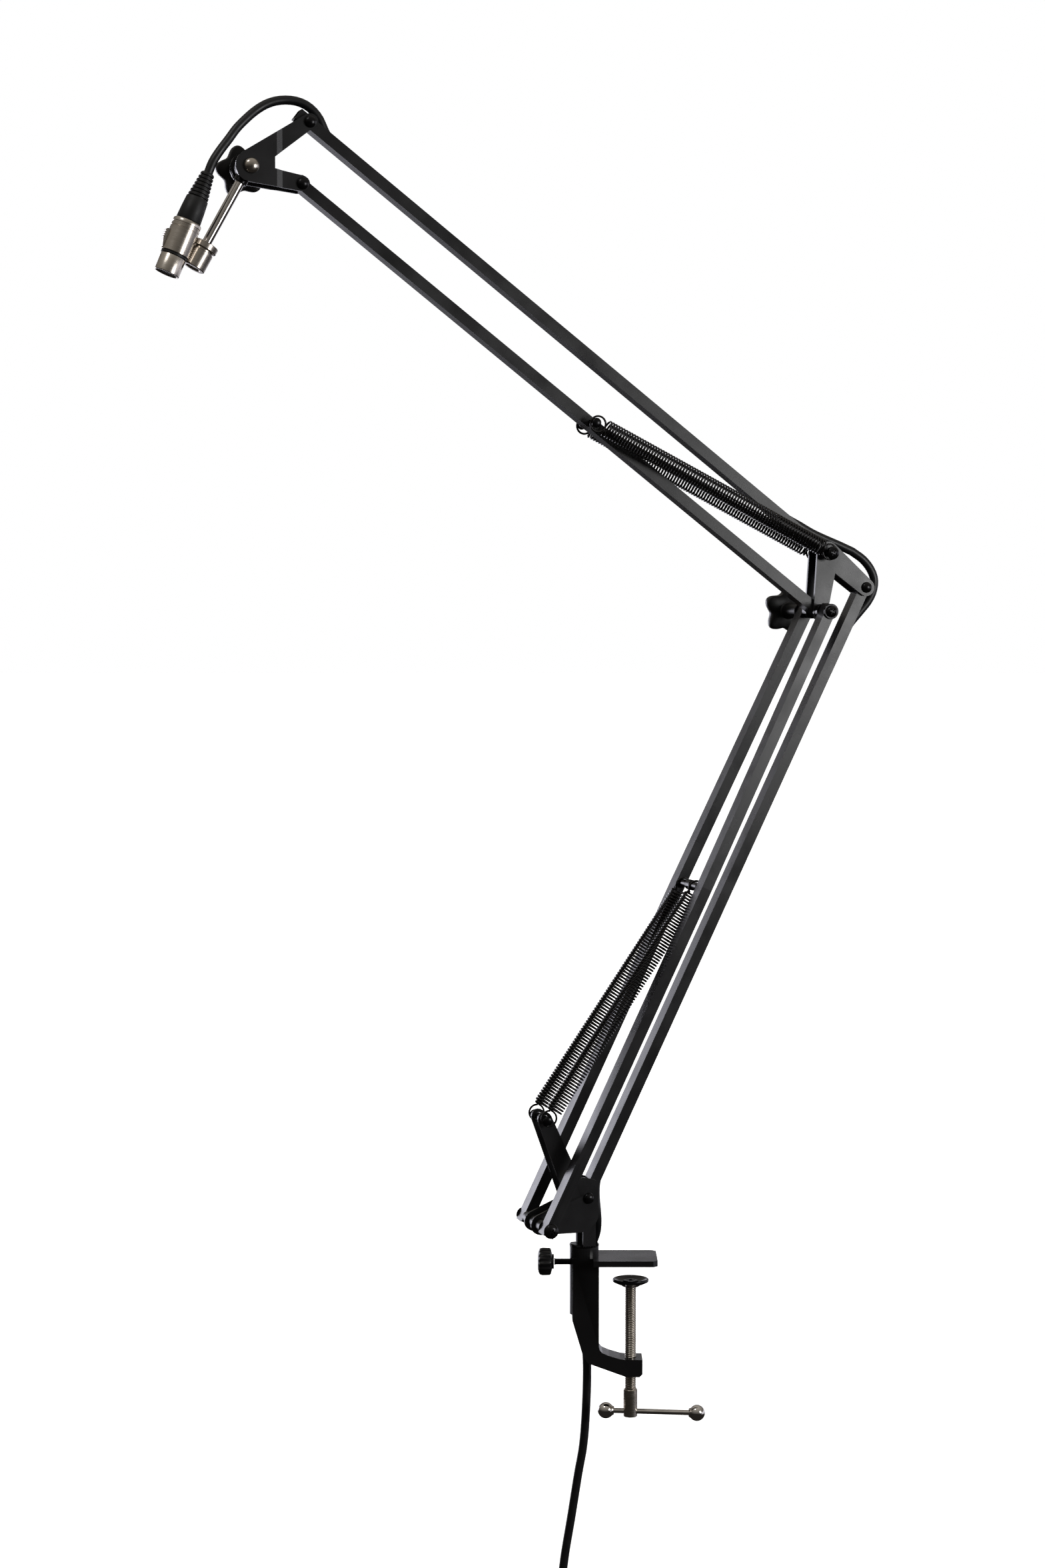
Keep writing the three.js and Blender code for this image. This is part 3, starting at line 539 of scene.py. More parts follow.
def tail_route():
    """The drop beside the clamp, the bend into the coil, the coil and the end with the plug."""
    x = POST_X
    drop = [(x + 6.7, 16, 11), (x + 5.4, 17.2, 8.6), (x + 0.5, 18.9, 2), (x - 2.2, 18, -10),
            (x - 2, 16.8, -30), (x + 0.5, 16.3, -52), (x + 2.3, 16.5, -73), (x + 1.8, 17, -105),
            (x - 0.2, 17.5, -133), (x - 3.6, 18, -153), (x - 8.3, 18, -183), (x - 13.3, 18, -214)]
    top = COIL_CENTRE.z + COIL_RADIUS + STRAND_OFFSET
    bend = []
    for degrees in (0, 18, 36, 54, 72):
        across, down = polar(TAIL_BEND, degrees)
        bend.append((COIL_CENTRE.x - across, TAIL_SIDE, top + TAIL_BEND - down))
    last = [(MALE_PLUG.x, MALE_PLUG.y, COIL_CENTRE.z - drop_by) for drop_by in (10, 20, 30, 41)]
    return [Vector(p) * MM for p in [*drop, *bend, *coil_route(), *last]]


HEAD_ROUTE = [(-29.5, -7.6, -8.8), (-28.1, -7.6, -5.5), (-25.1, -7.6, 1.6), (-20.4, -7.1, 8.8),
              (-14.1, -6, 16.9), (-8.7, -4.7, 24), (-2.6, -3.4, 30.2), (3.9, -2.2, 35.9),
              (11, -1.2, 40.6), (18.1, -0.6, 43.4), (25.2, 0, 44.5), (32.2, 0, 44.1), (38.7, 0, 41.9),
              (44.1, 0, 37.9), (48, 0, 32.9), (50.8, 0, 26.8), (53.4, 0, 22), (57.6, 0, 17.2),
              (62.6, 0, 13)]
ELBOW_UPPER_ROUTE = [(-29.1, 0, 68.1), (-21.6, 0, 63.6), (-13.2, 0, 59.3), (-4, 0, 54.3), (6, 0, 50),
                     (15.7, 0, 46.2), (26.6, 0, 41.6)]
ELBOW_LOWER_ROUTE = [(26.6, 0, 41.6), (35, 0, 36), (40.5, 0, 29.7), (43.3, 0, 23.6), (43.6, 0, 18.3),
                     (42.2, 0, 12.5), (38.8, 0, 6.5), (32.9, 0, -0.3), (25.5, 0, -8.6), (20.5, 0, -16)]
BASE_ROUTE = [(16.8, 0, 72), (13.3, 0, 65), (10.3, 0, 56), (8.4, 0, 47), (8.3, 0, 38), (9.2, 0.3, 29),
              (10.4, 2.5, 21), (11.3, 7, 13), (11.2, 12.6, 5.8)]


def plug_boot(name, place, body, node):
    """A rubber strain relief: seven ribs that grow towards the plug, then a smooth cone."""
    profile = [(0, 0), (3.6, 0), (4.1, 0.4)]
    for rib in range(7):
        start = 0.8 + rib * 2.5
        radius = 4.6 + rib * 0.38
        profile += [
            (radius - 0.15, start), (radius, start + 0.2), (radius, start + 1.3),
            (radius - 0.15, start + 1.5), (radius - 0.75, start + 1.7), (radius - 0.75, start + 2.3),
        ]
    profile += [(7.1, 18.2), (7.35, 18.6), (7.9, 26), (8.3, 33.4), (8.1, 34), (0, 34)]
    return finish_piece(turned(name, profile, RUBBER, place), body, node)


def male_plug_pieces():
    """The plug that ends the tail: a ribbed boot, a nickel shell and its three contacts."""
    place = hanging_place(*MALE_PLUG)
    boot = plug_boot("tail_plug_boot", place, "clamp", "male_plug_boot")
    shell = turned("tail_plug_shell", [
        (0, 34.3), (8.7, 34.3), (9.5, 35.2), (9.5, 38), (9.1, 38.4), (9.1, 39.2), (9.5, 39.6),
        (9.5, 62), (8.5, 62), (8.5, 46), (0, 46),
    ], NICKEL, place, bevel=0.2)
    contacts = turned("tail_plug_contacts", [(0, 46.3), (8.1, 46.3), (8.1, 49), (0, 49)],
                      INSERT, place, bevel=0.2)
    finish_piece(shell, "clamp", "male_plug_shell")
    finish_piece(contacts, "clamp", "male_plug_contacts")
    for index in range(3):
        across, up = polar(4, 90 + (index - 1) * KEY_ANGLE)
        pin_at = place @ Matrix.Translation((0, across * MM, up * MM))
        profile = [(0, 47), (1.2, 47), (1.2, 59), (0.6, 60), (0, 60)]
        contact = turned(f"tail_plug_pin_{index + 1}", profile, NICKEL, pin_at, segments=20)
        hold(contact, contacts)
    return [boot, shell, contacts]


def coil_strap():
    """The tape round the coil's bundle."""
    turn = math.radians(STRAP_TURN)
    across = COIL_CENTRE.x + COIL_RADIUS * math.sin(turn)
    up = COIL_CENTRE.z + COIL_RADIUS * math.cos(turn)
    place = row_place(across, TAIL_SIDE, up) @ Matrix.Rotation(turn, 4, "Y")
    inner = BUNDLE_RADIUS + GAP
    outer = inner + STRAP_THICKNESS
    half = STRAP_WIDTH / 2
    profile = [(inner, -half), (outer, -half), (outer, half), (inner, half), (inner, -half)]
    strap = turned("coil_strap", profile, STRAP, place, bevel=0.3)
    return finish_piece(strap, "clamp", "cable_strap")


def make_cables():
    """The four free stretches on the arm, then the tail with its coil, strap and plug."""
    head = arm_route(HEAD_HUB, HEAD_ROUTE)
    cable("cable_head", head, ["head_cable"])
    upper = arm_route(ELBOW_FRONT, ELBOW_UPPER_ROUTE)
    cable("cable_elbow_upper", upper,
          ["elbow_cable_upper"])
    lower = arm_route(ELBOW_FRONT, ELBOW_LOWER_ROUTE)
    cable("cable_elbow_lower", lower,
          ["elbow_cable_lower"])
    base = arm_route((0, 0), BASE_ROUTE)
    cable("cable_base", base, ["base_cable"])
    plug = male_plug_pieces()
    strap = coil_strap()
    tail = tail_route()
    cable("cable_tail_coil", tail,
          ["cable_tail", "cable_coil", "cable_end"])


make_cables()


# ---- springs ----
def spring_end():
    """The loop round a pin and the bend that leads from it into the first coil."""
    hook = SPRING_RADIUS - WIRE_RADIUS
    centre = hook - WIRE_RADIUS - PIN_RADIUS - GAP
    points = []
    for degrees in range(28, 361, 18):
        along, up = polar(hook, degrees)
        points.append((centre + along, -0.5 + degrees / 720, up))
    start = centre + hook
    return [*points, (start + 0.2, 0.45, 2.4), (start + 0.5, 0.2, 4.5)], start + 0.9


def spring_path(length):
    """The centre line of an extension spring along X: a loop, the coils and a loop."""
    radius = SPRING_RADIUS - WIRE_RADIUS
    first, start = spring_end()
    turns = round((length - 2 * start) / SPRING_PITCH)
    sweep = 360 * turns - 40
    count = round(sweep / 360 * SPRING_STEPS)
    coils = []
    for index in range(count + 1):
        share = index / count
        across, up = polar(radius, 110 + sweep * share)
        coils.append((start + (length - 2 * start) * share, across, up))
    last = [(length - x, -y, z) for x, y, z in reversed(first)]
    head = smooth_path([*first, coils[0], coils[1]], 0.9)[:-2]
    tail = smooth_path([coils[-2], coils[-1], *last], 0.9)[2:]
    return [*head, *(Vector(p) for p in coils), *tail]


def spring(name, start, start_side, stop, stop_side, node):
    """A spring between two pins, standing in for a CAD node."""
    begin = Vector((start[0], start_side, start[1]))
    end = Vector((stop[0], stop_side, stop[1]))
    run = end - begin
    across = math.hypot(run.x, run.z)
    turn = Matrix.Rotation(-math.atan2(run.z, run.x), 4, "Y") @ Matrix.Rotation(
        math.atan2(run.y, across), 4, "Z")
    place = ARM @ Matrix.Translation(begin * MM) @ turn
    path = [place @ (point * MM) for point in spring_path(run.length)]
    piece = tube(name, path, WIRE_RADIUS * MM, SPRING_WIRE, sides=8)
    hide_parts(node)
    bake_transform(piece)


def make_springs():
    """A near and a far spring for each section of the arm."""
    for side, where in ((-1, "near"), (1, "far")):
        spring(f"spring_lower_{where}", SPRING_ARM, side * LOWER_SPRING_BOTTOM, LOWER_CROSS,
               side * LOWER_SPRING_TOP, f"lower_spring_{where}")
        spring(f"spring_upper_{where}", ELBOW_TOP, side * UPPER_SPRING_OUT, UPPER_ANCHOR,
               side * UPPER_SPRING_OUT, f"upper_spring_{where}")


make_springs()


# ---- fasteners ----
def dome(radius, height, base, outward, steps=6):
    """Profile points of a domed head from its rim at base to its crown."""
    points = []
    for index in range(steps + 1):
        around, up = polar(1, 90 * index / steps)
        points.append((radius * around if index < steps else 0, base + outward * height * up))
    return points


def carve(piece, cutter):
    """Cuts a shape out of a piece, and removes the cutter."""
    cut = piece.modifiers.new("cut", "BOOLEAN")
    cut.operation = "DIFFERENCE"
    cut.solver = "EXACT"
    cut.object = cutter
    bpy.context.view_layer.update()
    shaped = bpy.data.meshes.new_from_object(piece.evaluated_get(bpy.context.evaluated_depsgraph_get()))
    piece.modifiers.remove(cut)
    piece.data = shaped
    shaped.shade_smooth()
    shaped.set_sharp_from_angle(angle=math.radians(SHARP_ANGLE))
    bpy.data.objects.remove(cutter)


def cutting_block(x, y, z, place):
    """A box between pairs of millimetre limits, to cut with."""
    points = [Vector((a, b, c)) * MM for a in x for b in y for c in z]
    faces = [(0, 1, 3, 2), (4, 6, 7, 5), (0, 4, 5, 1), (2, 3, 7, 6), (0, 2, 6, 4), (1, 5, 7, 3)]
    return new_piece("cutter", points, faces, DARK, place)


def cross_recess(piece, place, top):
    """A cross-head screwdriver recess sunk into the near head, whose crown is at x = top."""
    for turn in (RECESS_TURN, RECESS_TURN + 90):
        turned_place = place @ Matrix.Rotation(math.radians(turn), 4, "X")
        carve(piece, cutting_block((top - 1, top + RECESS_DEPTH), (-RECESS_REACH, RECESS_REACH),
                                   (-RECESS_HALF_WIDTH, RECESS_HALF_WIDTH), turned_place))


def pin(name, at, half, head, height, body, node, recess=False):
    """A pin with a domed head at each end; a recess makes its near head a screw's."""
    profile = [
        *reversed(dome(head, height, -half, -1)), (PIN_RADIUS, -half),
        (PIN_RADIUS, half), *dome(head, height, half, 1),
    ]
    piece = turned(name, profile, BLACKENED, pin_place(at), segments=48)
    if recess:
        cross_recess(piece, pin_place(at), -half - height)
    return finish_piece(piece, body, node)


def ring(name, at, low, high, body, node):
    """A spacer or washer on a pin, between two places along it."""
    inner = PIN_RADIUS + GAP
    profile = [(inner, low), (RING_RADIUS, low), (RING_RADIUS, high), (inner, high), (inner, low)]
    piece = turned(name, profile, BLACKENED, pin_place(at), segments=48, bevel=0.25)
    return finish_piece(piece, body, node)


def long_bolt(name, at, rows, end, look):
    """A bolt whose near head is given by its rows; its far end runs into a hand knob."""
    profile = [*rows, (PIN_RADIUS, rows[-1][1]), (PIN_RADIUS, end), (0, end)]
    return turned(name, profile, look, pin_place(at))


def make_pins():
    """The rivets and screws that the links and springs turn on."""
    base_half = FRONT_BASE + TUBE_WIDTH / 2 + GAP
    plate_half = PLATE_OUTER + GAP
    pin("base_bolt", BASE_FRONT, base_half, 5.2, 3.2, "base_bracket", "base_front_bolt", recess=True)
    pin("base_rear_rivet", BASE_REAR, plate_half, 3.8, 2.6, "base_bracket", "base_rear_pin")
    pin("spring_arm_rivet", SPRING_ARM, LOWER_SPRING_BOTTOM + 1.4, 3.3, 1.6, "base_bracket",
        "spring_arm_pin")
    pin("elbow_top_screw", ELBOW_TOP, UPPER_SPRING_OUT + 1.8, 4.6, 2.8, "elbow_bracket",
        "elbow_spring_pin", recess=True)
    pin("elbow_rear_rivet", ELBOW_REAR, plate_half, 3.8, 2.6, "elbow_bracket", "elbow_rear_pin")
    pin("head_upper_rivet", HEAD_UPPER, plate_half, 4, 2.8, "head_bracket", "head_upper_pin")
    pin("head_lower_rivet", HEAD_LOWER, plate_half, 4, 2.8, "head_bracket", "head_lower_pin")
    pin("upper_spring_rivet", UPPER_ANCHOR, UPPER_SPRING_OUT + 1.4, 3.3, 1.6, "upper_lower",
        "upper_spring_pin")


def make_long_bolts():
    """The elbow's and the head's bolts, which end in the hand knobs."""
    outer = FRONT_ELBOW + TUBE_WIDTH / 2 + 2 * GAP
    pan = [*reversed(dome(4.1, 3, -outer - 1.2, -1)), (4.1, -outer - 1), (5, -outer - 1),
           (5.3, -outer - 0.7), (5.3, -outer)]
    bolt = long_bolt("elbow_bolt", ELBOW_FRONT, pan, outer + ELBOW_KNOB_HUB + 4, BLACKENED)
    cross_recess(bolt, pin_place(ELBOW_FRONT), -outer - 4.2)
    finish_piece(bolt, "elbow_bracket", "elbow_main_bolt")
    outer = HUB_OUTER + GAP
    crown = [*reversed(dome(5.2, 3.6, -outer, -1))]
    bolt = long_bolt("head_hub_bolt", HEAD_HUB, crown, outer + HEAD_KNOB_HUB + 3, NICKEL)
    finish_piece(bolt, "head_bracket", "head_bolt")


def make_rings():
    """The spacers and washers between the plates and the front tubes."""
    plate = PLATE_OUTER + GAP
    base = FRONT_BASE - TUBE_WIDTH / 2 - GAP
    elbow = FRONT_ELBOW - TUBE_WIDTH / 2 - 2 * GAP
    ring("base_ring_centre", BASE_FRONT, -6, 6, "base_bracket", "base_spacer_centre")
    ring("base_ring_near", BASE_FRONT, -base, -plate, "base_bracket", "base_spacer_near")
    ring("base_ring_far", BASE_FRONT, plate, base, "base_bracket", "base_spacer_far")
    ring("elbow_ring_near", ELBOW_FRONT, -elbow, -plate, "elbow_bracket", "elbow_washer_near")
    ring("elbow_ring_far", ELBOW_FRONT, plate, elbow, "elbow_bracket", "elbow_washer_far")


def make_cross_bar():
    """The grooved bar between the two front tubes, where the lower springs end."""
    half = FRONT_BASE - TUBE_WIDTH / 2 - 2 * GAP
    profile = [
        (0, -half), (3.4, -half), (3.6, -half + 0.3), (3.6, -half + 1.6), (PIN_RADIUS, -half + 1.8),
        (PIN_RADIUS, -4), (3.6, -3.8), (3.6, 3.8), (PIN_RADIUS, 4), (PIN_RADIUS, half - 1.8),
        (3.6, half - 1.6), (3.6, half - 0.3), (3.4, half), (0, half),
    ]
    bar = turned("lower_cross_bar", profile, BLACKENED, pin_place(LOWER_CROSS), segments=48)
    finish_piece(bar, "lower_front", "lower_cross_pin")


make_pins()
make_long_bolts()
make_rings()
make_cross_bar()


# ---- threads ----
def thread(crest, pitch, depth, start, stop):
    """A radius function for a screw thread between two places along X."""
    def ripple(angle, radius, x):
        if radius != crest or not start < x < stop:
            return radius
        phase = (x / pitch - angle / (2 * math.pi)) % 1
        return radius - depth * min(1.0, 1.6 * abs(2 * phase - 1))
    return ripple


def thread_rows(radius, start, stop, before, after, step=0.2):
    """Profile rows close enough to carry a thread, between the rows before and after it."""
    count = round((stop - start) / step)
    rows = [(radius, start + (stop - start) * index / count) for index in range(count + 1)]
    return [*before, *rows, *after]


# ---- knobs ----
def star(turn):
    """Five round lobes on the wide part of a hand knob; the hub stays round."""
    def ripple(angle, radius, x):
        wave = math.cos(STAR_LOBES * (math.pi - angle - math.radians(turn)))
        reach = 1 - STAR_LOBE_DEPTH + STAR_LOBE_DEPTH * wave
        return radius * reach if radius > STAR_LOBED_FROM else radius
    return ripple


def star_knob(name, at, start, hub, turn, body, node):
    """A moulded five-lobed knob on a hub, with rounded rims and a sunk face round its boss."""
    near = start + hub
    far = near + STAR_THICKNESS
    wide = STAR_RADIUS
    profile = [
        (0, start), (5, start), (5.4, start + 0.4), (5.4, near - 0.6), (6.2, near),
        (wide - 2.4, near), (wide - 0.8, near + 0.5), (wide, near + 1.8), (wide, far - 1.8),
        (wide - 0.8, far - 0.5), (wide - 2.4, far), (12.6, far - 0.2), (8.6, far - 1.4),
        (6.4, far - 1.5), (5.8, far + 0.2), (5, far + 0.5), (0, far + 0.5),
    ]
    knob = turned(name, profile, PLASTIC, pin_place(at), segments=120, ripple=star(turn))
    return finish_piece(knob, body, node)


def fluted(angle, radius, x):
    """Fourteen shallow flutes round a knob's widest part."""
    return radius + 0.35 * math.cos(14 * angle) if radius > 8.5 else radius


def make_knobs():
    """The two star knobs, and the clamp's fluted knob on its threaded stem."""
    elbow_outer = FRONT_ELBOW + TUBE_WIDTH / 2 + 2 * GAP
    star_knob("elbow_star_knob", ELBOW_FRONT, elbow_outer + GAP, ELBOW_KNOB_HUB, ELBOW_KNOB_TURN,
              "elbow_star", "elbow_knob")
    star_knob("head_star_knob", HEAD_HUB, HUB_OUTER + 2 * GAP, HEAD_KNOB_HUB, HEAD_KNOB_TURN,
              "head_star", "head_knob")
    place = row_place(POST_X, 0, LOCK_HEIGHT)
    knob = turned("clamp_lock_knob", [
        (0, -32), (5, -31.9), (7.4, -31.4), (8.6, -30.5), (9.1, -28.6), (8.9, -23.6), (8.4, -22.9),
        (5.6, -22.2), (5, -21.9), (5, -20.9), (0, -20.9),
    ], PLASTIC, place, segments=112, ripple=fluted)
    finish_piece(knob, "lock_screw", "lock_knob")
    rows = thread_rows(LOCK_STEM_RADIUS, -20.6, -7.4, [(0, -20.6)], [(1.7, -6.7), (0, -6.7)])
    stem = turned("clamp_lock_stem", rows, BLACKENED, place, segments=32,
                  ripple=thread(LOCK_STEM_RADIUS, 0.8, 0.35, -20, -7.6))
    finish_piece(stem, "lock_screw", "lock_stem")


make_knobs()


# ---- clamp screw ----
def crimped(angle, radius, x):
    """Four crimp marks round the swivel in the middle of the pad."""
    return radius + 0.5 * math.cos(4 * angle) if 2 < radius < 5 and x < 15 else radius


def make_clamp_screw(down, across):
    """The threaded screw with its cross hole, and the pad on its end."""
    sleeve = [(4.5, 88.9), (4.8, 89.3), (4.8, 107.6), (4.5, 108), (0, 108)]
    rows = thread_rows(SCREW_RADIUS, 17.3, 88.8, [(0, 17.3)], sleeve, 0.25)
    screw = turned("clamp_screw_thread", rows, NICKEL, down, segments=40,
                   ripple=thread(SCREW_RADIUS, 1.25, 0.5, 18, 88))
    bore = TOMMY_RADIUS + 0.2
    carve(screw, turned("cutter", [(0, -8), (bore, -8), (bore, 8), (0, 8)], DARK, across, segments=24))
    finish_piece(screw, "jack_screw", "clamp_screw")
    pad = turned("clamp_screw_pad", [
        (0, 13.6), (2.2, 13.5), (2.6, 12.9), (4.4, 12.9), (4.8, 13.7), (7.5, 13.3), (10.4, 12.1),
        (11.6, 11.8), (12.3, 12.1), (12.5, 12.9), (12.2, 13.8), (9.4, 15.2), (7, 16), (5.8, 17), (0, 17),
    ], BLACKENED, down, ripple=crimped)
    finish_piece(pad, "jack_pad", "clamp_pad")


def make_tommy_bar(across):
    """The sliding bar with a ball on each end."""
    bar = turned("tommy_handle", [(0, -12), (TOMMY_RADIUS, -12), (TOMMY_RADIUS, 41), (0, 41)], CHROME,
                 across, segments=40)
    finish_piece(bar, "tommy", "tommy_bar")
    for name, node, x, inward in (("tommy_knob_left", "tommy_ball_left", -17, 1),
                                  ("tommy_knob_right", "tommy_ball_right", 46, -1)):
        spans = [polar(BALL_RADIUS, degrees) for degrees in range(0, 141, 7)]
        ball = [(up, x - inward * along) for along, up in spans]
        collar = [(TOMMY_RADIUS + 1.3, x + inward * 5.1), (TOMMY_RADIUS + 1.1, x + inward * 5.6),
                  (0, x + inward * 5.6)]
        piece = turned(name, [(0, ball[0][1]), *ball[1:], *collar], CHROME, across)
        finish_piece(piece, "tommy", node)


CROSSWAYS = row_place(0, 0, TOMMY_HEIGHT) @ Matrix.Rotation(math.radians(TOMMY_TURN), 4, "Z")
make_clamp_screw(hanging_place(0, 0, 0), CROSSWAYS)
make_tommy_bar(CROSSWAYS)


# ---- microphone mount ----
def make_mount():
    """The swivelling rod with its adapter for a microphone clip."""
    place = arm_place(HEAD_HUB, 0, MOUNT_ANGLE)
    rod = turned("mount_stem", [(0, 7.8), (ROD_RADIUS, 7.8), (ROD_RADIUS, 60), (0, 60)], CHROME, place)
    finish_piece(rod, "mic_mount", "mount_rod")
    adapter = turned("mount_thread_adapter", [
        (3.4, 58), (8.6, 58), (9, 58.4), (9, 61.8), (8.6, 62.2), (7.2, 62.4), (7.2, 63.6), (7.8, 63.8),
        (8, 64), (8, 75.5), (7.5, 76), (5.2, 76), (4.6, 75.2), (0, 75.2), (0, 60.3), (3.4, 60.3),
        (3.4, 58),
    ], NICKEL, place, segments=80)
    finish_piece(adapter, "mic_mount", "mount_adapter")
    half = HUB_OUTER - PLATE_THICKNESS - GAP
    bore = PIN_RADIUS + GAP
    hub = turned("mount_swivel_hub", [
        (bore, -half), (9.6, -half), (10, -half + 0.4), (10, -half + 1.4), (8.8, -half + 1.8),
        (8.6, -half + 2.4), (8.6, half - 2.4), (8.8, half - 1.8), (10, half - 1.4), (10, half - 0.4),
        (9.6, half), (bore, half), (bore, -half),
    ], BLACKENED, pin_place(HEAD_HUB), segments=80)
    finish_piece(hub, "mic_mount", "mount_hub")
    socket = turned("mount_stem_socket", [(0, 7), (4.5, 7), (4.8, 7.4), (4.8, 11.6), (4.4, 12), (0, 12)],
                    BLACKENED, place, segments=48)
    hold(socket, hub)


make_mount()


# ---- microphone plug ----
def make_plug_shell(place):
    """The nickel shell, with the latch's slot and the key window cut into it, and its seal."""
    shell = turned("mic_plug_shell", [
        (0, 34.3), (8.6, 34.3), (9.2, 34.8), (9.5, 35.4), (9.5, 37), (9.15, 37.3), (9.15, 38.1),
        (9.5, 38.4), (9.5, 39.8), (9.2, 40), (9.2, 40.4), (9.5, 40.6), (9.5, 57), (9.2, 57.4),
        (7.9, 57.5), (7.9, 58.8), (8.2, 59), (8.4, 59.3), (8.4, 70.6), (8.1, 71), (7.5, 71),
        (7.2, 70.6), (7.2, 62), (0, 62),
    ], NICKEL, place, segments=80)
    carve(shell, cutting_block((43.7, 56.3), (-3.3, 3.3), (-12, -6.7), place))
    carve(shell, cutting_block((61.3, 65.2), (-1.9, 1.9), (-10, -7.4), place))
    finish_piece(shell, "head_bracket", "plug_shell")
    seal = turned("mic_plug_seal", [(8, 57.6), (8.9, 57.6), (8.9, 58.8), (8, 58.8), (8, 57.6)], RUBBER,
                  place)
    hold(seal, shell)


def make_plug_insert(place):
    """The grey insert with its three sockets."""
    insert = turned("mic_plug_insert", [(0, 62.3), (6.9, 62.3), (6.9, 69.9), (6.6, 70.2), (0, 70.2)],
                    INSERT, place)
    for index in range(3):
        across, up = polar(3.8, 90 + (index - 1) * KEY_ANGLE)
        hole_at = place @ Matrix.Translation((0, across * MM, up * MM))
        profile = [(0, 64), (1, 64), (1, 72), (0, 72)]
        carve(insert, turned("cutter", profile, DARK, hole_at, segments=20))
    finish_piece(insert, "head_bracket", "plug_insert")


def make_latch(place):
    """The release latch: a ridged push plate that slopes down to the shell's rim."""
    side = [(44, 8.5), (44, 10.6), (44.5, 11.2)]
    for rib in range(4):
        start = 44.9 + rib * 1.5
        side += [(start, 11.2), (start + 0.25, 11.75), (start + 0.75, 11.75), (start + 1, 11.2)]
    side += [(51.5, 11.0), (55.6, 9.9), (56, 9.5), (56, 8.5)]
    points = [Vector((x, y, -z)) * MM for y in (-3, 3) for x, z in side]
    count = len(side)
    faces = [tuple(range(count)), tuple(range(count, 2 * count))[::-1]]
    faces += [(i, (i + 1) % count, (i + 1) % count + count, i + count) for i in range(count)]
    latch = new_piece("mic_plug_latch", points, faces, NICKEL, place, sharp=30)
    add_bevel(latch, 0.12)
    finish_piece(latch, "plug_latch", "plug_latch")


PLUG_PLACE = arm_place(PLUG_TOP, PLUG_SIDE, PLUG_ANGLE)
plug_boot("mic_plug_boot", PLUG_PLACE, "head_bracket", "plug_boot")
make_plug_shell(PLUG_PLACE)
make_plug_insert(PLUG_PLACE)
make_latch(PLUG_PLACE)


# ---- CAD parts that keep their shape ----
def dress(names, look, width, segments=2):
    """A look and rounded edges for CAD nodes."""
    for name in names:
        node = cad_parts[name]
        node.data.materials.clear()
        node.data.materials.append(look)
        add_bevel(node, width, segments)


dress(["lower_tube_near", "lower_tube_far", "lower_rear_tube", "upper_lower_tube", "upper_top_tube"],
      POWDER, 0.35)
dress(["base_plate_near", "base_plate_far", "elbow_plate_near", "elbow_plate_far", "head_plate_near",
       "head_plate_far"], POWDER, 0.3)
dress(["base_post"], BLACKENED, 0.3)
dress(["clamp_frame"], CAST, 0.8, 3)


# ---- light and floor ----
def area_light(name, at, target, size, energy):
    """A softbox of a width and height, turned towards a point."""
    lamp = bpy.data.lights.new(name, "AREA")
    lamp.shape = "RECTANGLE"
    lamp.size, lamp.size_y = size
    lamp.energy = energy
    holder = bpy.data.objects.new(name, lamp)
    bpy.context.scene.collection.objects.link(holder)
    holder.location = at
    holder.rotation_euler = (Vector(target) - Vector(at)).to_track_quat("-Z", "Y").to_euler()


def floor_light(floor):
    """A wide overhead sun that falls on the floor alone, so that the floor stays white."""
    lamp = bpy.data.lights.new("floor_light", "SUN")
    lamp.energy = 4.2
    lamp.angle = math.radians(40)
    holder = bpy.data.objects.new("floor_light", lamp)
    bpy.context.scene.collection.objects.link(holder)
    receivers = bpy.data.collections.new("floor_only")
    receivers.objects.link(floor)
    holder.light_linking.receiver_collection = receivers


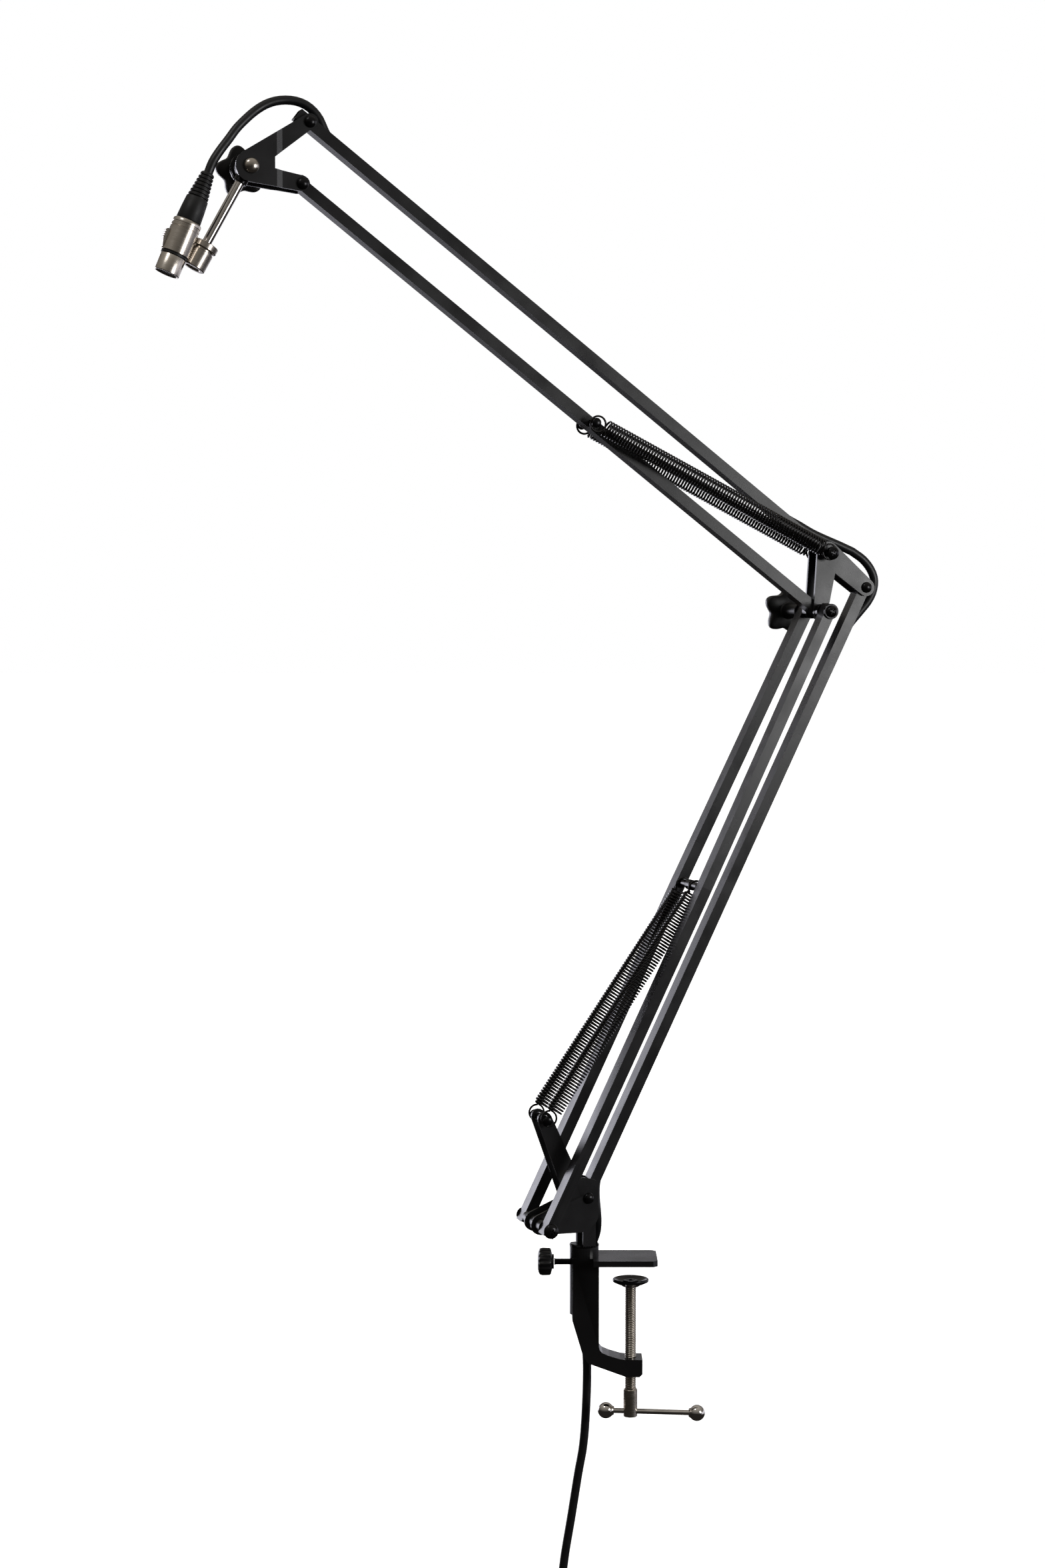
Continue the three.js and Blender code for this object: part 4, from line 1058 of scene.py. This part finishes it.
def make_world():
    """A white room seen directly; the object meets a dim one with a bright band behind it."""
    world = bpy.data.worlds.new("studio")
    world.use_nodes = True
    tree = world.node_tree
    direction = tree.nodes.new("ShaderNodeTexCoord")
    parts = tree.nodes.new("ShaderNodeSeparateXYZ")
    tree.links.new(direction.outputs["Generated"], parts.inputs["Vector"])
    behind = add_node(tree, "ShaderNodeVectorMath", operation="DOT_PRODUCT")
    tree.links.new(direction.outputs["Generated"], behind.inputs[0])
    behind.inputs[1].default_value = (0.6, 1, 0)
    below_top = ranged(tree, parts.outputs["Z"], 1.0, 0.0, 0.12, 0.22)
    above_foot = ranged(tree, parts.outputs["Z"], 0.0, 1.0, -0.28, -0.1)
    at_back = ranged(tree, behind.outputs["Value"], 0.0, 1.0, 0.0, 0.4)
    mostly_left = ranged(tree, parts.outputs["X"], 1.0, 0.22, -0.45, 0.0)
    band = product(tree, [below_top, above_foot, at_back, mostly_left])
    height = ranged(tree, parts.outputs["Z"], 0.0, 1.0, -0.1, 0.9)
    room = mixed_colour(tree, height, ROOM_LOW, ROOM_HIGH)
    met = mixed_colour(tree, band, ROOM_LOW, ROOM_BAND)
    tree.links.new(room, met.node.inputs[MIX_FIRST])
    rays = tree.nodes.new("ShaderNodeLightPath")
    seen = mixed_colour(tree, rays.outputs["Is Camera Ray"], (0, 0, 0), (1, 1, 1))
    tree.links.new(met, seen.node.inputs[MIX_FIRST])
    tree.links.new(seen, tree.nodes["Background"].inputs["Color"])
    bpy.context.scene.world = world


def floor_look():
    """A pale matt floor with a slow change of tone."""
    material, tree, shader = start_material("pale_floor", (0.9, 0.9, 0.9), 0.7)
    tone = mixed_colour(tree, object_noise(tree, 3, 2), (0.9, 0.9, 0.9), (0.93, 0.93, 0.93))
    tree.links.new(tone, shader.inputs["Base Color"])
    return material


def make_floor():
    """A floor too wide to see the sides of, which neither mirrors nor lights the object."""
    wide = 30
    front = -0.5
    height = cad_low.z - 0.01
    corners = [(-wide, front, height), (wide, front, height), (wide, wide, height), (-wide, wide, height)]
    floor = new_piece("floor", corners, [(0, 1, 2, 3)], floor_look())
    floor.visible_glossy = False
    floor.visible_diffuse = False
    floor_light(floor)


make_world()
make_floor()
area_light("right_softbox", (1.75, -1.28, 0.62), (0.1, 0.05, 0.5), (0.8, 0.75), 15)
area_light("top_softbox", (-0.9, -0.9, 2.1), (0, 0, 0.4), (0.5, 0.5), 4)
bpy.context.scene.view_settings.view_transform = "Standard"
